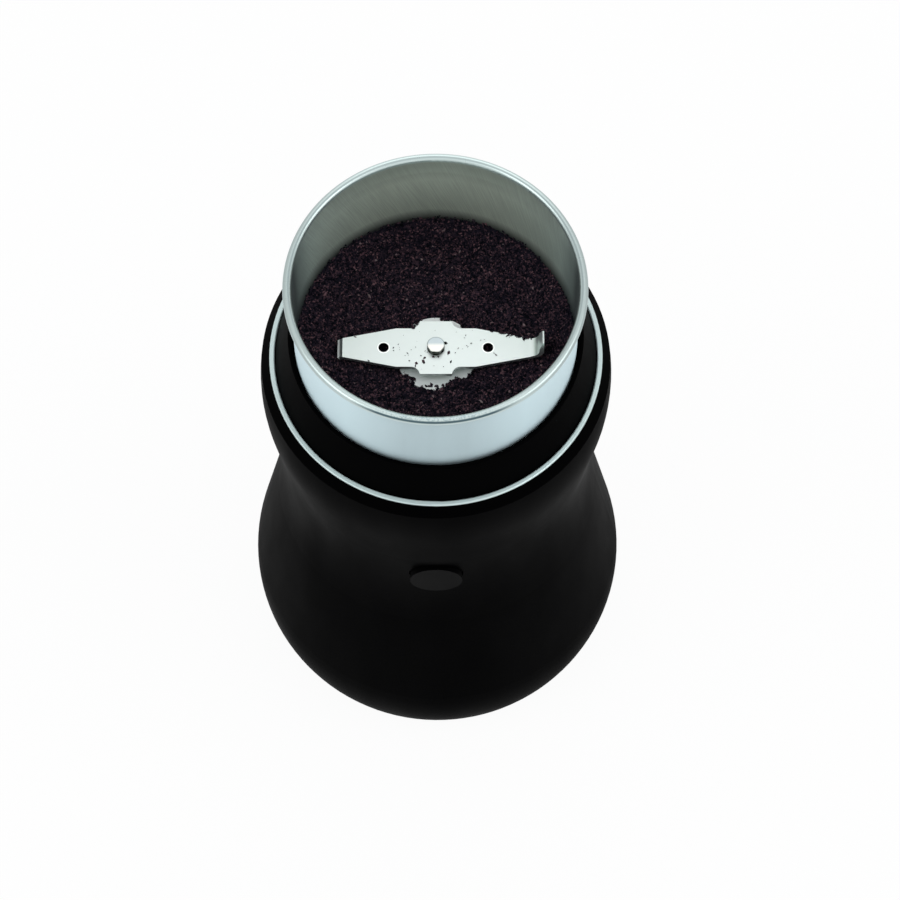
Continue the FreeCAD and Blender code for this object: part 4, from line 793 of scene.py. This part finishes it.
def apply_modifiers(piece: bpy.types.Object) -> None:
    """Apply all the modifiers of a piece, in order."""
    select_none()
    piece.select_set(True)
    bpy.context.view_layer.objects.active = piece
    for modifier in list(piece.modifiers):
        bpy.ops.object.modifier_apply(modifier=modifier.name)


def dress(piece: bpy.types.Object, slot: Slot, material: bpy.types.Material | None = None) -> None:
    """Give a new piece its finish.

    Args:
        piece: The piece.
        slot: Slot of the record that the finish belongs to.
        material: The material, if not the slot's own.
    """
    piece.data.materials.clear()
    piece.data.materials.append(material or Paint.of(slot))


@dataclass
class CarriedNodes:
    """CAD nodes that stay as they are and get their finishes."""

    frame: dict

    def dress(self) -> None:
        """Put each node's finish in its material slots."""
        slots = {item["node"]: item["material_slot"] for item in self.frame["record"]["subparts"]}
        for name, node in self.frame["nodes"].items():
            material = Paint.of(Slot(slots[name]))
            for holder in node.material_slots:
                holder.material = material
            if not node.material_slots:
                node.data.materials.append(material)
            LOG.info("dressed %s", name)


def bumps(x: float, y: float, size: float, layer: float) -> float:
    """Smooth noise over a level place, below and above zero.

    Args:
        x: Place along X.
        y: Place along Y.
        size: Size of one bump.
        layer: Picks one pattern.

    Returns:
        The noise.
    """
    return noise.noise(Vector((x / size, y / size, layer)))


def bumps_round(angle: float, reach: float, layer: float) -> float:
    """Smooth noise round the middle axis, below and above zero.

    Args:
        angle: Angle round the axis.
        reach: Radius of the circle that is read, in bumps.
        layer: Picks one pattern.

    Returns:
        The noise.
    """
    return noise.noise(Vector((math.cos(angle) * reach, math.sin(angle) * reach, layer)))


@dataclass
class SpiceHeap:
    """Ground spice in the cup: a lumpy heap with loose grains all over it."""

    boss_level: float
    blade_low: float
    wall_radius: float
    sweep: float
    wall_rise: float = 5.2 * MM
    drop: float = 1.45 * MM
    boss_radius: float = 10.2 * MM
    foot: float = 3.0 * MM
    hole: float = 5.0 * MM
    depth: float = 0.6 * MM
    rings: int = 78
    steps: int = 260
    clouds: int = 3
    grains: int = 23500
    grain_size: float = 0.32 * MM
    wall_grains: int = 260
    patch_x: float = 4.6 * MM
    patch_y: float = -8.5 * MM
    patch_size: float = 1.7 * MM
    patch_depth: float = 2.8
    behind_depth: float = 0.3
    bare_edge: float = 0.3 * MM
    lump_size: float = 4.5 * MM
    crumb_size: float = 1.1 * MM
    wall_curve: float = 1.15
    wall_margin: float = 0.3 * MM
    wall_gap: float = 0.15 * MM
    seed: int = 7

    def cover(self, x: float, y: float) -> float:
        """How far a place is inside the ground that the grains cover, below zero on the bare boss."""
        ragged = bumps(x, y, 0.0019, 1.7) * 2.2 * MM
        crumbs = bumps(x, y, 0.0007, 5.1) * 1.7 * MM
        off_patch = (x - self.patch_x) ** 2 + (y - self.patch_y) ** 2
        patch = math.exp(-off_patch / self.patch_size ** 2) * self.patch_depth * MM
        behind = max(0.0, math.sin(math.atan2(y, x))) * self.behind_depth * MM
        return math.hypot(x, y) - self.boss_radius + ragged + crumbs + patch - behind

    def wall_height(self, angle: float) -> float:
        """Height of the grounds where they meet the wall."""
        swell = bumps_round(angle, 1.3, 4.2)
        small = bumps_round(angle, 7.0, 9.1)
        crumbs = bumps_round(angle, 40.0, 3.3)
        return self.blade_low + self.wall_rise + (1.2 * swell + 0.6 * small + 0.5 * crumbs) * MM

    def height(self, x: float, y: float) -> float:
        """Height of the heap at a place.

        Args:
            x: Place along X.
            y: Place along Y.

        Returns:
            The height.
        """
        radius = math.hypot(x, y)
        lumps = bumps(x, y, self.lump_size, 0.3) * 0.4 * MM
        crumbs = bumps(x, y, self.crumb_size, 2.3) * 0.22 * MM
        low = self.blade_low - self.drop
        if radius < self.boss_radius + self.foot * 2:
            inside = self.cover(x, y)
            if inside < self.bare_edge:
                return self.boss_level - self.depth
            share = min(1.0, inside / self.foot)
            return self.boss_level + share * (low - self.boss_level) + crumbs * share
        if radius < self.sweep:
            return low + lumps * 0.5 + crumbs
        share = (radius - self.sweep) / (self.wall_radius - self.sweep)
        rise = self.wall_height(math.atan2(y, x)) - low
        return low + rise * (share ** self.wall_curve) + lumps * 0.8 + crumbs

    def make_surface(self) -> bpy.types.Object:
        """Model the heap's crust, ring by ring, from the wall inwards."""
        select_none()
        bpy.ops.mesh.primitive_circle_add(vertices=self.steps, radius=self.wall_radius,
                                          fill_type="NOTHING", location=(0, 0, self.blade_low))
        heap = bpy.context.object
        heap.name = "spice_heap"
        settle(heap)
        bpy.ops.object.mode_set(mode="EDIT")
        bpy.ops.mesh.select_all(action="SELECT")
        radius = self.wall_radius
        for ring in range(1, self.rings + 1):
            smaller = self.wall_radius + (self.hole - self.wall_radius) * ring / self.rings
            factor = smaller / radius
            bpy.ops.mesh.extrude_region_move(TRANSFORM_OT_translate={"value": (0, 0, 0)})
            bpy.ops.transform.resize(value=(factor, factor, 1), center_override=(0, 0, self.blade_low))
            radius = smaller
        bpy.ops.mesh.select_all(action="SELECT")
        bpy.ops.mesh.normals_make_consistent(inside=False)
        bpy.ops.object.mode_set(mode="OBJECT")
        if heap.data.polygons[0].normal.z < 0:
            heap.data.flip_normals()
        for vertex in heap.data.vertices:
            vertex.co.z = self.height(vertex.co.x, vertex.co.y)
        crust = heap.modifiers.new("crust", "SOLIDIFY")
        crust.thickness = self.depth
        crust.offset = -1.0
        apply_modifiers(heap)
        bpy.ops.object.shade_smooth()
        return heap

    def scatter(self, placer: random.Random) -> list[tuple[float, float, float]]:
        """Places of the grains of one cloud.

        Args:
            placer: Source of the random draws.

        Returns:
            Places on the heap, and a few stuck to the wall above it.
        """
        places = []
        while len(places) < self.grains:
            radius = self.wall_radius * math.sqrt(placer.random())
            angle = placer.uniform(-math.pi, math.pi)
            x, y = radius * math.cos(angle), radius * math.sin(angle)
            if self.cover(x, y) < 0 or radius > self.wall_radius - self.wall_margin:
                continue
            level = max(self.height(x, y), self.boss_level) + placer.uniform(-0.08, 0.16) * MM
            places.append((x, y, level))
        for _ in range(self.wall_grains):
            angle = placer.uniform(-math.pi, math.pi)
            reach = self.wall_radius - self.wall_gap
            level = self.wall_height(angle) + abs(placer.gauss(0.0, 0.8)) * MM
            places.append((reach * math.cos(angle), reach * math.sin(angle), level))
        return places

    def make(self) -> None:
        """Make the crust and the grains, in place of the plain heap."""
        surface = self.make_surface()
        dress(surface, Slot.SPICE)
        pieces = [surface]
        for number in range(self.clouds):
            places = self.scatter(random.Random(self.seed + number))
            name = f"spice_grains_{number + 1}"
            pieces.append(grain_cloud(name, places, self.grain_size, self.seed + number))
        for piece in pieces:
            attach(piece, "cup")
            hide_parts("ground_spice")
            LOG.info("built %s", piece.name)


def grain_pattern() -> tuple[np.ndarray, np.ndarray]:
    """Model one grain: two four-sided points, base to base.

    Returns:
        Its corners and its faces.
    """
    select_none()
    bpy.ops.mesh.primitive_cone_add(vertices=4, radius1=1.0, radius2=0.0, depth=1.0, location=(0, 0, 0.5),
                                    end_fill_type="NOTHING")
    pattern = bpy.context.object
    settle(pattern)
    twin = pattern.modifiers.new("twin", "MIRROR")
    twin.use_axis = (False, False, True)
    apply_modifiers(pattern)
    corners = np.array([vertex.co[:] for vertex in pattern.data.vertices])
    faces = np.array([face.vertices[:] for face in pattern.data.polygons])
    bpy.data.objects.remove(pattern)
    return corners, faces


def grain_cloud(name: str, places: Sequence[Sequence[float]], size: float | Sequence[float],
                seed: int, flat: float = 0.8) -> bpy.types.Object:
    """Many small broken grains in one mesh.

    Args:
        name: Name of the piece.
        places: Where the grains lie.
        size: Usual half length of a grain, or one for each.
        seed: Seed of the shapes.
        flat: Height of a grain as a share of its width.

    Returns:
        The piece, with a tone for each grain.
    """
    corners, faces = grain_pattern()
    shaper = np.random.default_rng(seed)
    count = len(places)
    shapes = corners[None] * (1.0 + shaper.uniform(-GRAIN_RAGGED, GRAIN_RAGGED, (count, len(corners), 1)))
    shapes = shapes * shaper.uniform((0.9, 0.5, 0.5 * flat), (1.6, 0.85, 1.0 * flat), (count, 1, 3))
    turn = shaper.uniform(0, 2 * math.pi, count)
    tilt = shaper.normal(0, GRAIN_LEAN, count)
    size_each = np.asarray(size) * np.exp(shaper.normal(0, GRAIN_SPREAD, count))
    x, y, z = shapes[..., 0], shapes[..., 1], shapes[..., 2]
    y, z = (y * np.cos(tilt)[:, None] - z * np.sin(tilt)[:, None],
            y * np.sin(tilt)[:, None] + z * np.cos(tilt)[:, None])
    x, y = (x * np.cos(turn)[:, None] - y * np.sin(turn)[:, None],
            x * np.sin(turn)[:, None] + y * np.cos(turn)[:, None])
    points = np.stack((x, y, z), axis=-1) * size_each[:, None, None] + np.array(places)[:, None]
    corner_start = (np.arange(count) * len(corners))[:, None, None]
    sides = (faces[None] + corner_start).reshape(-1, 3)
    mesh = bpy.data.meshes.new(name)
    mesh.from_pydata(points.reshape(-1, 3).tolist(), [], sides.tolist())
    tone = mesh.attributes.new("grain_tone", "FLOAT", "FACE")
    tone.data.foreach_set("value", np.repeat(shaper.random(count), len(faces)).astype(np.float32))
    piece = bpy.data.objects.new(name, mesh)
    bpy.context.collection.objects.link(piece)
    dress(piece, Slot.SPICE, Paint.grains())
    LOG.info("%s: %d grains", name, count)
    return piece


@dataclass
class BladeDust:
    """Specks and grains that lie on the blade, placed in millimetres from the spindle's axis."""

    top: float
    size: float = 0.26 * MM
    large_share: float = 1.5
    small_share: float = 0.9
    loose_share: float = 0.42
    loose_count: int = 30
    loose_wide: float = 7.5
    loose_deep: float = 3.2
    lift: float = 0.1 * MM
    seed: int = 21

    def make(self) -> None:
        """Scatter the specks: by the spindle, on the hub's front and along the right arm's far edge."""
        placer = random.Random(self.seed)
        large = [
            (-6.1, 5.7), (2.6, 1.3), (3.4, -1.5), (1.6, -1.2), (-3.9, -2.4), (-2.9, -3.0), (-3.2, -3.7),
            (-3.1, -4.4), (-0.5, -2.6), (-5.1, -4.6), (-5.3, -5.4), (-0.7, -2.7), (-3.2, -4.1),
        ]
        small = [
            (7.8, 3.5), (7.5, 2.8), (9.2, 1.2), (5.9, -0.2), (0.6, -2.7), (-7.4, -1.7), (-8.0, -2.4),
            (-2.8, -1.0), (-6.9, -3.9), (-0.5, -5.3), (15.2, -1.7), (15.7, -2.2), (15.5, -1.9),
            (-21.1, 3.1),
            (-11.1, -0.1), (-11.0, -0.9), (-9.8, 0.9), (-17.5, -3.9), (18.4, 3.2), (3.9, -4.2),
            (1.4, 0.7),
        ]
        patches = [
            (-5.8, 6.0, 0.4, 0.2, 5),
            (14.4, 4.7, 0.3, 0.12, 6),
            (17.6, 4.1, 0.5, 0.15, 9),
            (19.6, 3.65, 0.6, 0.2, 16),
            (21.6, 3.25, 0.6, 0.2, 16),
            (23.6, 2.8, 0.6, 0.2, 18),
        ]
        spots = [(x, y, self.large_share) for x, y in large]
        spots += [(x, y, self.small_share) for x, y in small]
        for x, y, wide, deep, count in patches:
            spots += [(placer.gauss(x, wide), placer.gauss(y, deep), 1.0) for _ in range(count)]
        spots += [(placer.gauss(0.0, self.loose_wide), placer.gauss(0.0, self.loose_deep), self.loose_share)
                  for _ in range(self.loose_count)]
        places = [(x * MM, y * MM, self.top + self.lift) for x, y, _ in spots]
        sizes = [share * self.size for _, _, share in spots]
        dust = grain_cloud("blade_specks", places, sizes, self.seed, flat=0.5)
        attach(dust, "blade")
        LOG.info("built %s", dust.name)


@dataclass(frozen=True)
class Lamp:
    """One square soft lamp."""

    name: str
    place: tuple[float, float, float]
    side: float
    power: float


LAMPS = (
    Lamp("lamp_left", (-1.1, -0.4, 1.3), 0.9, 5.0),
    Lamp("lamp_right", (1.2, -0.2, 1.2), 0.9, 5.5),
    Lamp("lamp_back", (0.1, 1.2, 1.3), 1.0, 2.5),
)
LAMP_TARGET = (0.0, 0.0, 0.12)


@dataclass
class Studio:
    """Camera, lamps, pale floor and white surroundings."""

    camera_height: float = 981.5 * MM
    camera_back: float = 425.8 * MM
    camera_side: float = 3.7 * MM
    pitch: float = 64.72
    lens: float = 144.0
    floor_size: float = 6.0
    floor_white: float = 0.94
    floor_colour: Colour = (0.93, 0.93, 0.93)
    floor_drop: float = 0.2 * MM
    world_light: float = 0.7
    world_colour: Colour = (0.96, 0.98, 1.0)
    sensor: float = 36.0
    nearest: float = 0.01

    def make_camera(self) -> None:
        """Stand the camera where the photograph was taken from."""
        data = bpy.data.cameras.new("photo_camera")
        data.sensor_width = self.sensor
        data.lens = self.lens
        data.clip_start = self.nearest
        camera = bpy.data.objects.new("photo_camera", data)
        bpy.context.collection.objects.link(camera)
        camera.location = (self.camera_side, -self.camera_back, self.camera_height)
        camera.rotation_euler = (math.radians(90.0 - self.pitch), 0.0, 0.0)
        bpy.context.scene.camera = camera

    @staticmethod
    def seen_share(tree: bpy.types.NodeTree, share: float) -> bpy.types.NodeSocket:
        """Share of the plain white that camera, mirror and glass rays see.

        Args:
            tree: Node tree that gets the nodes.
            share: Share for those rays; other rays get none.

        Returns:
            The share.
        """
        path = tree.nodes.new("ShaderNodeLightPath")
        value = path.outputs["Is Camera Ray"]
        for name in ("Is Glossy Ray", "Is Transmission Ray"):
            most = tree.nodes.new("ShaderNodeMath")
            most.operation = "MAXIMUM"
            tree.links.new(value, most.inputs[0])
            tree.links.new(path.outputs[name], most.inputs[1])
            value = most.outputs[0]
        part = tree.nodes.new("ShaderNodeMath")
        part.operation = "MULTIPLY"
        part.inputs[1].default_value = share
        tree.links.new(value, part.inputs[0])
        return part.outputs[0]

    def make_world(self) -> None:
        """Plain soft light from all round, white where it is seen or mirrored."""
        world = bpy.data.worlds.new("studio")
        bpy.context.scene.world = world
        world.use_nodes = True
        tree = world.node_tree
        tree.nodes.clear()
        output = tree.nodes.new("ShaderNodeOutputWorld")
        white = tree.nodes.new("ShaderNodeBackground")
        white.inputs["Color"].default_value = (1.0, 1.0, 1.0, 1.0)
        soft = tree.nodes.new("ShaderNodeBackground")
        soft.inputs["Color"].default_value = (*self.world_colour, 1.0)
        soft.inputs["Strength"].default_value = self.world_light
        blend = tree.nodes.new("ShaderNodeMixShader")
        tree.links.new(self.seen_share(tree, 1.0), blend.inputs["Fac"])
        tree.links.new(soft.outputs[0], blend.inputs[1])
        tree.links.new(white.outputs[0], blend.inputs[2])
        tree.links.new(blend.outputs[0], output.inputs["Surface"])

    def make_floor(self) -> None:
        """Lay a white floor that keeps a faint shadow of the grinder."""
        select_none()
        bpy.ops.mesh.primitive_plane_add(size=self.floor_size, location=(0, 0, -self.floor_drop))
        floor = bpy.context.object
        floor.name = "studio_floor"
        sheet = NodeSheet("finish_floor")
        sheet.constant(Base_Color=self.floor_colour, Roughness=0.9, Specular_IOR_Level=0.1)
        glow = sheet.tree.nodes.new("ShaderNodeEmission")
        blend = sheet.tree.nodes.new("ShaderNodeMixShader")
        sheet.link(self.seen_share(sheet.tree, self.floor_white), blend.inputs["Fac"])
        sheet.link(sheet.shader.outputs["BSDF"], blend.inputs[1])
        sheet.link(glow.outputs[0], blend.inputs[2])
        sheet.link(blend.outputs[0], sheet.output.inputs["Surface"])
        floor.data.materials.append(sheet.material)

    @staticmethod
    def make_lamp(lamp: Lamp) -> None:
        """Hang one lamp that points at the grinder.

        Args:
            lamp: The lamp's name, place, size and power.
        """
        data = bpy.data.lights.new(lamp.name, "AREA")
        data.size = lamp.side
        data.energy = lamp.power
        hung = bpy.data.objects.new(lamp.name, data)
        bpy.context.collection.objects.link(hung)
        hung.location = lamp.place
        aim = Vector(LAMP_TARGET) - Vector(lamp.place)
        hung.rotation_euler = aim.to_track_quat("-Z", "Y").to_euler()

    def make(self) -> None:
        """Set up the whole studio."""
        bpy.context.scene.view_settings.view_transform = "Standard"
        self.make_camera()
        self.make_world()
        self.make_floor()
        for lamp in LAMPS:
            self.make_lamp(lamp)


def main() -> None:
    """Build the looks in order and report each step."""
    logging.basicConfig(level=logging.INFO, format="%(name)s: %(message)s")
    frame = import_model()
    CarriedNodes(frame).dress()
    _, spice_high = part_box("ground_spice")
    _, blade_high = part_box("grinding_blade")
    strip_low = blade_high[2] - FLANGE_HEIGHT
    SpiceHeap(boss_level=strip_low - BLADE_GAP, blade_low=strip_low, wall_radius=spice_high[0],
              sweep=blade_high[0] + SWEEP_CLEAR).make()
    BladeDust(top=strip_low + STRIP_THICK).make()
    Studio().make()


if __name__ == "__main__":
    main()
